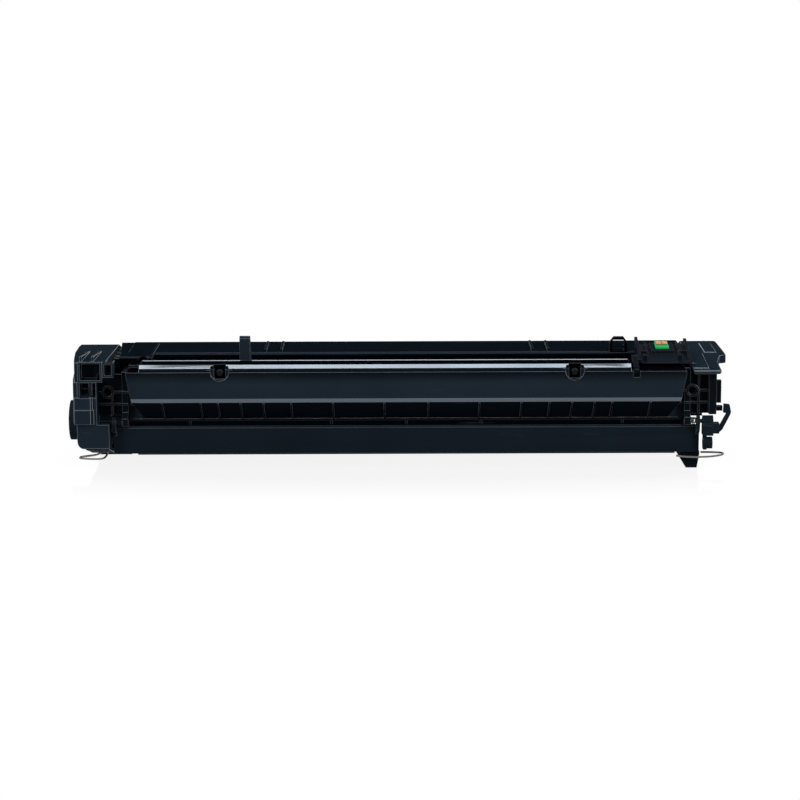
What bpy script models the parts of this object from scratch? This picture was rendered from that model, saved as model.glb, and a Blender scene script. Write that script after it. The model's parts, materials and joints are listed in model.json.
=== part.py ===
"""A3 all-in-one toner cartridge: cleaning bin, drum, charge roller, developer, hopper and drum shutter.

Lengths are in metres. In the design frame X runs along the drum, Y runs back from the bin's front
plate and Z runs up from the surface the cartridge rests on. The gear end is at -X.
"""
import math

import bmesh
import bpy

# Fits
GAP = 0.0003  # between pieces that touch
RUN = 0.0004  # round a turning shaft
WALL = 0.0018  # moulded walls
CUT = 0.001  # how far a cutter stands out past the face it opens

# Lengths along X. The paper's centre line lies a little to the right of the middle
MID = 0.0036
DRUM_HALF = 0.1580
BIN_OVER = 0.0023  # bin past the drum
CHARGE_SHORT = 0.0050  # drum past the charge roller's sleeve
SLEEVE_SHORT = 0.0090  # drum past the developer sleeve
FRAME_T = 0.0035
SHUT_OVER = 0.0056  # shutter past the side frames
GEAR_OVER = 0.0090  # side frame to gear plane
GEAR_W = 0.0065
LEFT_REACH, RIGHT_REACH = 0.0329, 0.0243  # outermost faces past the side frames
COVER_IN_LEFT, COVER_IN_RIGHT = 0.0076, 0.0318  # bin's ends past the raised cover

# Drum and cleaning bin
DEPTH = 0.1060
BIN_REAR = 0.0215  # rear face of the bin's lower wall
BLADE_ROOM = 0.0015  # between that wall and the drum
DRUM_R = 0.0150
DRUM_WALL = 0.0009
UNDER_DRUM = 0.0110
DRUM_PIN_R = 0.0030
NECK_R = 0.0070
CHARGE_R = 0.0060
CHARGE_SHAFT_R = 0.0030
CHARGE_ANGLE = 113  # degrees, seen from the drum's axis, up from the rear
BEARING_HALF = 0.0042
SPRING_ROOM = 0.0047
SHELF_DEEP = 0.0071  # bin's rear shelf, from its underside to the top
BIN_HIGH = 0.0184  # bin's top above the corner of its lower bend
BEND_R = 0.0030
TAPER = 0.0095  # how much the bin's slope is shorter at each end
RIB_T = 0.0009

# Developer and gears
SLEEVE_R = 0.0087
SLEEVE_WALL = 0.0009
DEV_GAP = 0.0006  # drum to developer sleeve
DEV_SHAFT_R = 0.0030
DEV_RISE = 0.0020  # developer's axis above the drum's
RING_W = 0.0045
DRUM_TEETH, DEV_TEETH, IDLER_TEETH, STIR_TEETH = 34, 20, 18, 26
GEAR_BORE_R = 0.0026

# Hopper
HOPPER_SET = 0.0135  # hopper's front behind the drum's axis
HOPPER_DROP = 0.0002  # hopper's top below the bin's
LID_T = 0.0020
LID_SHORT = 0.0130  # hopper's back past the lid
TROUGH_R = 0.0180
TROUGH_WALL = 0.0020
STIR_R = 0.0150
STIR_SHAFT_R = 0.0022
PLUG_R = 0.0070

# Shutter
HINGE_Y, HINGE_UP = 0.0140, 0.0025  # hinge's place, and its height above the drum's axis
PIN_R = 0.0012
EYE_R = 0.0033
SHUT_Y, SHUT_T = 0.0160, 0.0018
SHUT_LOW = 0.0085
SHUT_REACH = 0.0450
ARM_T = 0.0018
LOOP_R = 0.0006

# Side panels and caps
PANEL_Y, PANEL_T = 0.0170, 0.0020
RIB_DEEP = 0.0030  # panel ribs, forward of the panel
FOOT_TOP = 0.0095
CAP_FRONT = 0.0080
CAP_RISE = 0.0018  # left cap's top above the lid

# Places along X that follow from the lengths
BIN_HALF = DRUM_HALF + BIN_OVER
BIN_LEFT, BIN_RIGHT = MID - BIN_HALF, MID + BIN_HALF
LEFT_FRAME_X, RIGHT_FRAME_X = BIN_LEFT - GAP, BIN_RIGHT + GAP  # inner faces of the two side frames
LEFT_OUT, RIGHT_OUT = LEFT_FRAME_X - FRAME_T, RIGHT_FRAME_X + FRAME_T
LEFT_END, RIGHT_END = LEFT_OUT - LEFT_REACH, RIGHT_OUT + RIGHT_REACH
GEAR_IN = LEFT_OUT - GEAR_OVER
GEAR_FACE = GEAR_IN - GEAR_W
COVER_LEFT, COVER_RIGHT = BIN_LEFT + COVER_IN_LEFT, BIN_RIGHT - COVER_IN_RIGHT
SLEEVE_HALF = DRUM_HALF - SLEEVE_SHORT

# Axes and heights that follow from the radii, as (y, z)
DRUM = (BIN_REAR + BLADE_ROOM + DRUM_R, UNDER_DRUM + DRUM_R)


def round_drum(clear, degrees):
    """A point that far off the drum's surface, seen from the drum's axis, up from the rear."""
    reach = DRUM_R + clear
    angle = math.radians(degrees)
    return DRUM[0] + reach * math.cos(angle), DRUM[1] + reach * math.sin(angle)


CHARGE = round_drum(CHARGE_R + GAP, CHARGE_ANGLE)
DEV_REACH = DRUM_R + SLEEVE_R + DEV_GAP
MODULE = 2 * DEV_REACH / (DRUM_TEETH + DEV_TEETH)
DEV = (DRUM[0] + math.sqrt(DEV_REACH ** 2 - DEV_RISE ** 2), DRUM[1] + DEV_RISE)
STIR = (DEPTH - TROUGH_WALL - TROUGH_R, TROUGH_WALL + TROUGH_R)
SHELF_Z = CHARGE[1] + BEARING_HALF + SPRING_ROOM
BIN_TOP = SHELF_Z + SHELF_DEEP
BIN_BACK = DRUM[0] - 0.0035
PLATE_TOP = BIN_TOP - 0.0016
BEND_Z = BIN_TOP - BIN_HIGH
COVER_Z = BIN_TOP + 0.0024
COVER_BACK = 0.0182
LIP_Y, LIP_Z = BIN_REAR - 0.0025, DRUM[1] + 0.0042
HOPPER_FRONT = DRUM[0] + HOPPER_SET
HOPPER_TOP = BIN_TOP - HOPPER_DROP
LID_LOW = HOPPER_TOP + GAP
LID_TOP = LID_LOW + LID_T
LID_BACK = DEPTH - LID_SHORT
CAP_TOP = LID_TOP + CAP_RISE
HINGE_Z = DRUM[1] + HINGE_UP
SHUT_TOP = HINGE_Z - 0.0025
SHUT_BACK = SHUT_Y + SHUT_T
PANEL_LOW, PANEL_TOP = HINGE_Z + 0.0041, PLATE_TOP - 0.0035
FRAME_BACK = HOPPER_FRONT - 0.0006

ROUND, SMALL_ROUND = 40, 16

COLOURS = {
    "black": ((0.020, 0.026, 0.033), 0.42, 0.0),
    "steel": ((0.60, 0.60, 0.58), 0.30, 1.0),
    "aluminium": ((0.30, 0.30, 0.31), 0.45, 1.0),
    "drum": ((0.05, 0.22, 0.30), 0.18, 0.0),
    "rubber": ((0.03, 0.03, 0.03), 0.70, 0.0),
    "urethane": ((0.55, 0.38, 0.16), 0.40, 0.0),
    "film": ((0.35, 0.36, 0.36), 0.30, 0.0),
    "nylon": ((0.62, 0.61, 0.56), 0.45, 0.0),
    "board": ((0.01, 0.30, 0.13), 0.40, 0.0),
    "gold": ((0.80, 0.52, 0.30), 0.35, 1.0),
}


def clear_scene():
    for obj in list(bpy.data.objects):
        bpy.data.objects.remove(obj, do_unlink=True)


def material(name):
    """Returns the Principled material of that name, made on first use."""
    if name in bpy.data.materials:
        return bpy.data.materials[name]
    colour, roughness, metallic = COLOURS[name]
    made = bpy.data.materials.new(name)
    made.use_nodes = True
    shader = made.node_tree.nodes["Principled BSDF"]
    shader.inputs["Base Color"].default_value = (*colour, 1.0)
    shader.inputs["Roughness"].default_value = roughness
    shader.inputs["Metallic"].default_value = metallic
    return made


def mesh_object(bm):
    """Turns a finished bmesh into an object with its faces pointing out."""
    bmesh.ops.recalc_face_normals(bm, faces=bm.faces)
    mesh = bpy.data.meshes.new("shape")
    bm.to_mesh(mesh)
    bm.free()
    obj = bpy.data.objects.new("shape", mesh)
    bpy.context.scene.collection.objects.link(obj)
    return obj


def at_axis(axis, along, u, v):
    """A point from its distance along an axis and its other two coordinates, in X, Y, Z order."""
    return {"X": (along, u, v), "Y": (u, along, v), "Z": (u, v, along)}[axis]


def prism(axis, outline, start, end):
    """Extrudes an outline along an axis: (y, z) points along X, (x, z) along Y, (x, y) along Z."""
    bm = bmesh.new()
    near = [bm.verts.new(at_axis(axis, start, u, v)) for u, v in outline]
    far = [bm.verts.new(at_axis(axis, end, u, v)) for u, v in outline]
    bm.faces.new(near)
    bm.faces.new(far)
    for k in range(len(outline)):
        after = (k + 1) % len(outline)
        bm.faces.new((near[k], near[after], far[after], far[k]))
    return mesh_object(bm)


def box(x0, x1, y0, y1, z0, z1):
    return prism("Z", [(x0, y0), (x1, y0), (x1, y1), (x0, y1)], z0, z1)


def arc(cu, cv, radius, first, last, steps):
    """Points on a circle from one angle to another, in degrees."""
    points = []
    for k in range(steps + 1):
        angle = math.radians(first + (last - first) * k / steps)
        points.append((cu + radius * math.cos(angle), cv + radius * math.sin(angle)))
    return points


def circle(cu, cv, radius, steps=SMALL_ROUND):
    return arc(cu, cv, radius, 0, 360, steps)[:-1]


def turned(profile, cy, cz, steps=ROUND):
    """Turns an (x, radius) profile about an X axis. It closes on the axis or, all off it, on itself."""
    bm = bmesh.new()
    rings = []
    for x, radius in profile:
        if radius == 0:
            rings.append([bm.verts.new((x, cy, cz))] * steps)
        else:
            rings.append([bm.verts.new((x, y, z)) for y, z in circle(cy, cz, radius, steps)])
    pairs = list(zip(rings, rings[1:]))
    if all(radius > 0 for _, radius in profile):
        pairs.append((rings[-1], rings[0]))
    for one, two in pairs:
        for k in range(steps):
            after = (k + 1) % steps
            corners = list(dict.fromkeys((one[k], one[after], two[after], two[k])))
            if len(corners) > 2:
                bm.faces.new(corners)
    return mesh_object(bm)


def rod(x0, x1, radius, cy, cz, steps=SMALL_ROUND):
    return turned([(x0, 0), (x0, radius), (x1, radius), (x1, 0)], cy, cz, steps)


def tube(x0, x1, outer, inner, cy, cz, steps=ROUND):
    return turned([(x0, outer), (x1, outer), (x1, inner), (x0, inner)], cy, cz, steps)


def combine(base, operation, others):
    """Joins, cuts or intersects a shape with others, which are used up."""
    for other in others:
        step = base.modifiers.new("step", "BOOLEAN")
        step.operation = operation
        step.object = other
        step.solver = "EXACT"
        graph = bpy.context.evaluated_depsgraph_get()
        graph.update()
        result = bpy.data.meshes.new_from_object(base.evaluated_get(graph))
        base.modifiers.clear()
        base.data = result
        bpy.data.objects.remove(other, do_unlink=True)
    return base


def fuse(base, *others):
    return combine(base, "UNION", others)


def cut(base, *others):
    return combine(base, "DIFFERENCE", others)


def keep(obj, name, finish, parent, origin=(0, 0, 0)):
    """Names a finished shape, gives it its material, and sets it under its body at its own origin."""
    obj.name = name
    obj.data.name = name
    obj.data.materials.clear()
    obj.data.materials.append(material(finish))
    for vertex in getattr(obj.data, "vertices", []):
        vertex.co = [value - base for value, base in zip(vertex.co, origin)]
    obj.location = [place - base for place, base in zip(origin, parent.get("at", (0, 0, 0)))]
    obj.parent = parent
    if obj.type == "MESH":
        obj.data.shade_smooth()
        obj.data.set_sharp_from_angle(angle=math.radians(35))
    return obj


def body(name, parent, at):
    """An empty that carries one moving body, standing on its joint's axis."""
    empty = bpy.data.objects.new(name, None)
    bpy.context.scene.collection.objects.link(empty)
    empty.location = [place - base for place, base in zip(at, parent.get("at", (0, 0, 0)))]
    empty["at"] = at
    empty.parent = parent
    return empty


def bin_room(left, right, open_top):
    """The bin's inner space, open at the rear towards the drum and, under the cover, at the top."""
    roof = COVER_Z if open_top else PLATE_TOP - WALL
    shelf = SHELF_Z + WALL
    back = BIN_BACK - WALL
    front = COVER_BACK - 0.0007 if open_top else back
    mouth_low, mouth_top, mouth_back = LIP_Z + 0.0020, LIP_Z + 0.0074, BIN_REAR + 0.0025
    outline = [(WALL, BEND_Z + WALL), (WALL, roof), (front, roof)]
    if open_top:
        outline += [(front, BIN_TOP - WALL), (back, BIN_TOP - WALL)]
    outline += [(back, shelf), (BIN_REAR - WALL, shelf), (BIN_REAR - WALL, mouth_top),
                (mouth_back, mouth_top),
                (mouth_back, mouth_low), (LIP_Y, mouth_low)]
    return prism("X", outline, left, right)


# The two cover screws, their wells, the guide post and the ribs under the bin
WELLS = (BIN_LEFT + 0.0536, BIN_RIGHT - 0.0639)
WELL_R, WELL_DEEP = 0.0054, 0.0024
SLOT_HALF, SLOT_BACK, SLOT_LOW = 0.0033, 0.0069, BIN_TOP - 0.0056
SCREW_Z, SCREW_R, SCREW_SHANK_R = BIN_TOP - 0.0026, 0.0024, 0.0013
TAB_T = 0.0012
RIB_ENDS = (0.0203, 0.0423, 0.0523, 0.0653, 0.0783, 0.0943, 0.1183, 0.1477)
POST_LEFT, POST_W, POST_RISE = BIN_LEFT + 0.0641, 0.0061, 0.0163
TONGUE_LEFT, TONGUE_W = BIN_RIGHT - 0.0302, 0.0033


def well_cutters(spread):
    """Round wells in the bin's front with a square slot behind, open at the top."""
    cutters = []
    for x in WELLS:
        cutters.append(prism("Y", circle(x, SCREW_Z + 0.0014, WELL_R + spread, 24), -CUT, WELL_DEEP))
        cutters.append(box(x - SLOT_HALF - spread, x + SLOT_HALF + spread, -CUT, SLOT_BACK - TAB_T - GAP,
                           SLOT_LOW - spread, COVER_Z + CUT))
    return cutters


def waste_bin(parent):
    bend = arc(BEND_R, BEND_Z + 0.0016, BEND_R, 235, 180, 5)
    outline = bend + [(0, PLATE_TOP), (0.0012, BIN_TOP), (BIN_BACK, BIN_TOP), (BIN_BACK, SHELF_Z),
                      (BIN_REAR, SHELF_Z), (BIN_REAR, LIP_Z + 0.0078), (LIP_Y + 0.0006, LIP_Z + 0.001),
                      (LIP_Y - 0.0004, LIP_Z)]
    shell = prism("X", outline, BIN_LEFT, BIN_RIGHT)
    for edge_x, side in ((BIN_LEFT, -1), (BIN_RIGHT, 1)):
        taper = [(edge_x + side * CUT, PLATE_TOP + 0.0028), (edge_x + side * CUT, LIP_Z - 0.0022),
                 (edge_x - side * TAPER, LIP_Z - 0.0022), (edge_x - side * 0.0030, BEND_Z - 0.0006)]
        cut(shell, prism("Y", taper, -CUT, LIP_Y - 0.0004))
    cut(shell, box(BIN_LEFT - CUT, COVER_LEFT - GAP, -CUT, COVER_BACK, PLATE_TOP, COVER_Z),
        box(COVER_RIGHT + GAP, BIN_RIGHT + CUT, -CUT, BIN_BACK + CUT, PLATE_TOP, COVER_Z))
    cut(shell, bin_room(COVER_LEFT + 0.002, COVER_RIGHT - 0.002, True),
        bin_room(COVER_RIGHT + 0.0068, BIN_RIGHT - TAPER - WALL, False))
    for x in WELLS:
        fuse(shell, box(x - WELL_R - WALL, x + WELL_R + WALL, 0.0010, WELL_DEEP + WALL, SLOT_LOW - WALL,
                        BIN_TOP),
             box(x - SLOT_HALF - WALL, x + SLOT_HALF + WALL, 0.0010, SLOT_BACK + WALL, SLOT_LOW - WALL,
                 BIN_TOP),
             prism("Y", circle(x, SCREW_Z, 0.0025, 12), SLOT_BACK + 0.0010, 0.0150))
    cut(shell, *well_cutters(0))
    cut(shell, *[box(x - SLOT_HALF, x + SLOT_HALF, WELL_DEEP, SLOT_BACK, SLOT_LOW,
                     BIN_TOP + CUT) for x in WELLS])
    cut(shell, *[prism("Y", circle(x, SCREW_Z, SCREW_SHANK_R + RUN, 10), SLOT_BACK - CUT,
                       0.0140) for x in WELLS])
    cut(shell, box(TONGUE_LEFT - GAP, TONGUE_LEFT + TONGUE_W + GAP, -CUT, 0.0042, PLATE_TOP - 0.0035,
                   COVER_Z))
    for end in RIB_ENDS:
        for x in (BIN_LEFT + end, BIN_RIGHT - end):
            web = [(0.0014, BEND_Z + 0.0010), (0.0010, BEND_Z - 0.0014), (LIP_Y - 0.0014, LIP_Z - 0.0006),
                   (LIP_Y - 0.0014, LIP_Z + 0.0014), (0.0030, BEND_Z + 0.0004)]
            fuse(shell, prism("X", web, x - RIB_T / 2, x + RIB_T / 2))
    for x0, x1 in ((BIN_LEFT, BIN_LEFT + 0.0042), (BIN_RIGHT - 0.0042, BIN_RIGHT)):
        fuse(shell, box(x0, x1, PANEL_Y - 0.0012, LIP_Y, PANEL_LOW + 0.0060, PANEL_LOW + 0.0070))
    post_back = BIN_BACK - 0.0015
    gusset = [(COVER_BACK + 0.0008, BIN_TOP - 0.0005), (COVER_BACK + 0.0008, BIN_TOP + POST_RISE - 0.0012),
              (COVER_BACK + 0.0020, BIN_TOP + POST_RISE), (COVER_BACK + 0.0042, BIN_TOP + POST_RISE),
              (post_back, BIN_TOP + 0.0045), (post_back, BIN_TOP - 0.0005)]
    fuse(shell, prism("X", gusset, POST_LEFT, POST_LEFT + POST_W))
    keep(shell, "waste_bin", "black", parent)


def waste_bin_cover(parent):
    low = BIN_TOP + GAP
    outline = [(0.0012, low), (0.0004, low + 0.0003), (0.0032, COVER_Z), (COVER_BACK, COVER_Z),
               (COVER_BACK, low)]
    cover = prism("X", outline, COVER_LEFT, COVER_RIGHT)
    cut(cover, *well_cutters(GAP))
    tab_back = SLOT_BACK - GAP
    for x in WELLS:
        side = SLOT_HALF - GAP
        fuse(cover, box(x - side, x + side, tab_back - TAB_T, tab_back, SLOT_LOW + GAP, COVER_Z - 0.0004))
        cut(cover, prism("Y", circle(x, SCREW_Z, SCREW_SHANK_R + RUN, 12), tab_back - TAB_T - CUT,
                         tab_back + CUT))
    keep(cover, "waste_bin_cover", "black", parent)
    head = tab_back - TAB_T - GAP
    for number, x in enumerate(WELLS, 1):
        screw = turned([(0.0135, 0), (0.0135, SCREW_SHANK_R), (head, SCREW_SHANK_R), (head, SCREW_R),
                        (head - 0.0012, SCREW_R), (head - 0.0018, SCREW_R - 0.0008), (head - 0.0018, 0)],
                       0, 0, 16)
        for vertex in screw.data.vertices:
            vertex.co = (x - vertex.co.y, vertex.co.x, SCREW_Z + vertex.co.z)
        cut(screw, box(x - 0.0015, x + 0.0015, head - 0.003, head - 0.0009, SCREW_Z - 0.0003,
                       SCREW_Z + 0.0003),
            box(x - 0.0003, x + 0.0003, head - 0.003, head - 0.0009, SCREW_Z - 0.0015, SCREW_Z + 0.0015))
        keep(screw, f"cover_screw_{number}", "steel", parent)


def cleaning_parts(parent):
    face = BIN_REAR + GAP
    left, right = BIN_LEFT + 0.006, BIN_RIGHT - 0.006
    top, flange_back = SHELF_Z - GAP, BIN_BACK - 0.0035
    foot = LIP_Z + 0.0105
    bracket = [(face, top), (flange_back, top), (flange_back, top - 0.0012), (face + 0.0012, top - 0.0012),
               (face + 0.0012, foot), (face, foot)]
    keep(prism("X", bracket, left, right), "blade_bracket", "steel", parent)
    blade = [(face + 0.0002, foot - GAP), (face + 0.0002, foot - 0.0041), round_drum(0.0005, 149.5),
             round_drum(0.0005, 145), (face + 0.0014, foot - GAP)]
    keep(prism("X", blade, left, right), "cleaning_blade", "urethane", parent)
    sheet = [(LIP_Y + 0.0003, LIP_Z - 0.0006), round_drum(0.0006, 173.4), round_drum(0.0005, 171.8),
             (LIP_Y + 0.0004, LIP_Z - GAP)]
    keep(prism("X", sheet, left, right), "recovery_sheet", "film", parent)
    bar_top = LIP_Z - GAP
    bar = prism("X", [(LIP_Y - 0.0014, bar_top - 0.0010), (LIP_Y - 0.0006, bar_top - 0.0010),
                      (LIP_Y - 0.0006, SHUT_TOP - 0.0020), (LIP_Y, SHUT_TOP - 0.0020), (LIP_Y, bar_top),
                      (LIP_Y - 0.0014, bar_top)], LEFT_FRAME_X + 0.0005, RIGHT_FRAME_X - 0.0005)
    places = [MID] + [MID + side * (BIN_HALF - end) for end in (0.0350, 0.1169) for side in (-1, 1)]
    ribs = [box(x - 0.0006, x + 0.0006, LIP_Y - 0.0012, LIP_Y - 0.0003, SHUT_TOP + 0.0006, bar_top - 0.0004)
            for x in places]
    keep(fuse(bar, *ribs), "front_bar", "black", parent)


def meeting(one, reach_one, two, reach_two):
    """The upper point at given distances from two centres."""
    gap = math.dist(one, two)
    along = (reach_one ** 2 - reach_two ** 2 + gap ** 2) / (2 * gap)
    up = math.sqrt(reach_one ** 2 - along ** 2)
    cos, sin = (two[0] - one[0]) / gap, (two[1] - one[1]) / gap
    return one[0] + along * cos - up * sin, one[1] + along * sin + up * cos


IDLER = meeting(DEV, MODULE * (DEV_TEETH + IDLER_TEETH) / 2, STIR, MODULE * (IDLER_TEETH + STIR_TEETH) / 2)


def meshed(teeth_one, phase, one, teeth_two, two):
    """The angle of a tooth on the second gear that lets it mesh with the first."""
    toward = math.atan2(two[1] - one[1], two[0] - one[0])
    passed = (toward - phase) * teeth_one / (2 * math.pi)
    return toward + math.pi - (0.5 - passed) * 2 * math.pi / teeth_two


DRUM_PHASE = 0.0
DEV_PHASE = meshed(DRUM_TEETH, DRUM_PHASE, DRUM, DEV_TEETH, DEV)
IDLER_PHASE = meshed(DEV_TEETH, DEV_PHASE, DEV, IDLER_TEETH, IDLER)
STIR_PHASE = meshed(IDLER_TEETH, IDLER_PHASE, IDLER, STIR_TEETH, STIR)


def gear(teeth, centre, phase):
    """A spur gear with straight-flanked teeth, in the gear plane at the left end."""
    pitch_radius = MODULE * teeth / 2
    root, tip = pitch_radius - 1.15 * MODULE, pitch_radius + 0.95 * MODULE
    step = 2 * math.pi / teeth
    outline = []
    for k in range(teeth):
        for radius, share in ((root, -0.33), (tip, -0.10), (tip, 0.10), (root, 0.33)):
            angle = phase + (k + share) * step
            outline.append((centre[0] + radius * math.cos(angle), centre[1] + radius * math.sin(angle)))
    return prism("X", outline, GEAR_FACE, GEAR_IN)


def drum_parts(parent, root):
    left, right = MID - DRUM_HALF, MID + DRUM_HALF
    origin = (MID, *DRUM)
    inner = DRUM_R - DRUM_WALL
    plug = inner - GAP
    rim = DRUM_R - 0.0006
    rim_x = left - GAP
    keep(tube(left, right, DRUM_R, inner, *DRUM, 56), "opc_drum", "drum", parent, origin)
    drive = turned([(left + 0.006, 0), (left + 0.006, plug), (rim_x, plug), (rim_x, rim),
                    (rim_x - 0.0016, rim),
                    (rim_x - 0.0016, NECK_R), (GEAR_FACE - 0.0010, NECK_R), (GEAR_FACE - 0.0010, 0.0050),
                    (LEFT_END + 0.0130, 0.0050), (LEFT_END + 0.0130, 0)], *DRUM)
    lobes = []
    for k in range(3):
        turn = math.radians(120 * k)
        lobes += arc(DRUM[0] + 0.0038 * math.cos(turn), DRUM[1] + 0.0038 * math.sin(turn), 0.0026,
                     120 * k - 60, 120 * k + 60, 4)
    coupling = prism("X", lobes, LEFT_END + 0.0045, LEFT_END + 0.0140)
    fuse(drive, gear(DRUM_TEETH, DRUM, DRUM_PHASE), coupling)
    keep(drive, "drum_drive_flange", "nylon", parent, origin)
    bore = DRUM_PIN_R + RUN
    face = right + GAP
    end = turned([(right - 0.006, bore), (right - 0.006, plug), (face, plug), (face, rim),
                  (face + 0.0016, rim),
                  (face + 0.0016, bore)], *DRUM, 32)
    keep(end, "drum_end_flange", "nylon", parent, origin)
    head = RIGHT_OUT + GAP
    pin = turned([(right - 0.007, 0), (right - 0.007, DRUM_PIN_R), (head, DRUM_PIN_R), (head, 0.0050),
                  (head + 0.0015, 0.0050), (head + 0.0015, 0)], *DRUM, 20)
    keep(pin, "drum_pin", "steel", root)


def helix(centre, radius, turns, start, end, axis, steps=10):
    """Points of a coil between two places along an axis."""
    count = int(turns * steps)
    points = []
    for k in range(count + 1):
        angle = 2 * math.pi * k / steps
        along = start + (end - start) * k / count
        points.append(at_axis(axis, along, centre[0] + radius * math.cos(angle),
                              centre[1] + radius * math.sin(angle)))
    return points


def wire(points, radius, sides=1):
    """A round wire through points, closed at both ends."""
    curve = bpy.data.curves.new("wire", "CURVE")
    curve.dimensions = "3D"
    curve.bevel_depth = radius
    curve.bevel_resolution = sides
    curve.use_fill_caps = True
    spline = curve.splines.new("POLY")
    spline.points.add(len(points) - 1)
    for point, place in zip(spline.points, points):
        point.co = (*place, 1)
    obj = bpy.data.objects.new("wire", curve)
    bpy.context.scene.collection.objects.link(obj)
    return obj


def charge_parts(parent, root):
    origin = (MID, *CHARGE)
    reach, sleeve_half = BIN_HALF - 0.0008, DRUM_HALF - CHARGE_SHORT
    keep(rod(MID - reach, MID + reach, CHARGE_SHAFT_R, *CHARGE), "charge_shaft", "steel", parent, origin)
    keep(tube(MID - sleeve_half, MID + sleeve_half, CHARGE_R, CHARGE_SHAFT_R + GAP, *CHARGE, 28),
         "charge_sleeve", "rubber", parent, origin)
    coil_low, coil_top = CHARGE[1] + BEARING_HALF + 0.0006, SHELF_Z - GAP - 0.0003
    for side, word in ((-1, "left"), (1, "right")):
        near = MID + side * (sleeve_half + 0.0022)
        far = MID + side * (sleeve_half + 0.0066)
        block = box(min(near, far), max(near, far), CHARGE[0] - BEARING_HALF, CHARGE[0] + BEARING_HALF,
                    CHARGE[1] - BEARING_HALF, CHARGE[1] + BEARING_HALF)
        cut(block, rod(min(near, far) - CUT, max(near, far) + CUT, CHARGE_SHAFT_R + RUN, *CHARGE))
        keep(block, f"charge_bearing_{word}", "nylon", root)
        coil = helix(((near + far) / 2, CHARGE[0]), 0.0015, 3, coil_low, coil_top, "Z", 8)
        keep(wire(coil, 0.0003), f"charge_spring_{word}", "steel", root)


def developer_parts(parent, root):
    origin = (MID, *DEV)
    left, right = MID - SLEEVE_HALF, MID + SLEEVE_HALF
    inner = SLEEVE_R - SLEEVE_WALL
    plug, rim = inner - GAP, SLEEVE_R - 0.0006
    neck_r = 0.0046
    keep(tube(left, right, SLEEVE_R, inner, *DEV), "developer_sleeve", "aluminium", parent, origin)
    shaft = turned([(left + 0.003, 0), (left + 0.003, plug), (left - GAP, plug), (left - GAP, rim),
                    (left - GAP - 0.0010, rim), (left - GAP - 0.0010, DEV_SHAFT_R),
                    (GEAR_FACE - 0.0020, DEV_SHAFT_R), (GEAR_FACE - 0.0020, 0)], *DEV, 24)
    keep(shaft, "developer_shaft", "nylon", parent, origin)
    bore = DEV_SHAFT_R + RUN
    flange = turned([(right - 0.002, bore), (right - 0.002, plug), (right + GAP, plug), (right + GAP, rim),
                     (right + GAP + 0.0010, rim), (right + GAP + 0.0010, neck_r), (right + 0.0075, neck_r),
                     (right + 0.0075, bore)], *DEV, 24)
    keep(flange, "developer_flange", "nylon", parent, origin)
    ring_r = DEV_REACH - DRUM_R - GAP
    for word, edge_x, hole in (("left", left - GAP - 0.0013 - RING_W, DEV_SHAFT_R + GAP),
                               ("right", right + GAP + 0.0013, neck_r + GAP)):
        keep(tube(edge_x, edge_x + RING_W, ring_r, hole, *DEV, 32), f"spacer_ring_{word}", "nylon",
             parent, origin)
    wheel = gear(DEV_TEETH, DEV, DEV_PHASE)
    cut(wheel, rod(GEAR_FACE - CUT, GEAR_IN + CUT, DEV_SHAFT_R + GAP, *DEV))
    keep(wheel, "developer_gear", "nylon", parent, origin)
    core_r = inner - 0.0012
    core = turned([(left + 0.005, 0), (left + 0.005, core_r), (right - 0.004, core_r),
                   (right - 0.004, DEV_SHAFT_R),
                   (RIGHT_OUT - GAP, DEV_SHAFT_R), (RIGHT_OUT - GAP, 0)], *DEV, 24)
    keep(core, "magnet_core", "steel", root)


def stirring_parts(idler_body, stir_body):
    wheel = gear(IDLER_TEETH, IDLER, IDLER_PHASE)
    cut(wheel, rod(GEAR_FACE - CUT, GEAR_IN + CUT, GEAR_BORE_R, *IDLER))
    keep(wheel, "idler_gear", "nylon", idler_body, (GEAR_IN, *IDLER))
    origin = (MID, *STIR)
    wheel = gear(STIR_TEETH, STIR, STIR_PHASE)
    cut(wheel, rod(GEAR_FACE - CUT, GEAR_IN + CUT, STIR_SHAFT_R + GAP, *STIR))
    keep(wheel, "agitator_gear", "nylon", stir_body, origin)
    left, right = LEFT_OUT + 0.0050, RIGHT_OUT - 0.0070
    blade_half = 0.0008
    frame = rod(GEAR_FACE - 0.0020, RIGHT_OUT - 0.0026, STIR_SHAFT_R, *STIR)
    fuse(frame, box(left, right, STIR[0], STIR[0] + STIR_R - 0.0040, STIR[1] - blade_half,
                    STIR[1] + blade_half))
    count = 5
    pitch = (right - left) / count
    for k in range(count):
        start = left + k * pitch + 0.003
        cut(frame, box(start, start + pitch - 0.006, STIR[0] + STIR_SHAFT_R + 0.0012,
                       STIR[0] + STIR_R - 0.0070,
                       STIR[1] - 0.002, STIR[1] + 0.002))
    keep(frame, "agitator_frame", "nylon", stir_body, origin)
    film_low = STIR[1] + blade_half + GAP
    keep(box(left + 0.002, right - 0.002, STIR[0] + STIR_R - 0.0068, STIR[0] + STIR_R + 0.0012,
             film_low, film_low + 0.0003), "agitator_film", "film", stir_body, origin)


HOPPER_SIDE = 0.0025
PLUG = (STIR[0], HOPPER_TOP - 0.0174)


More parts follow.
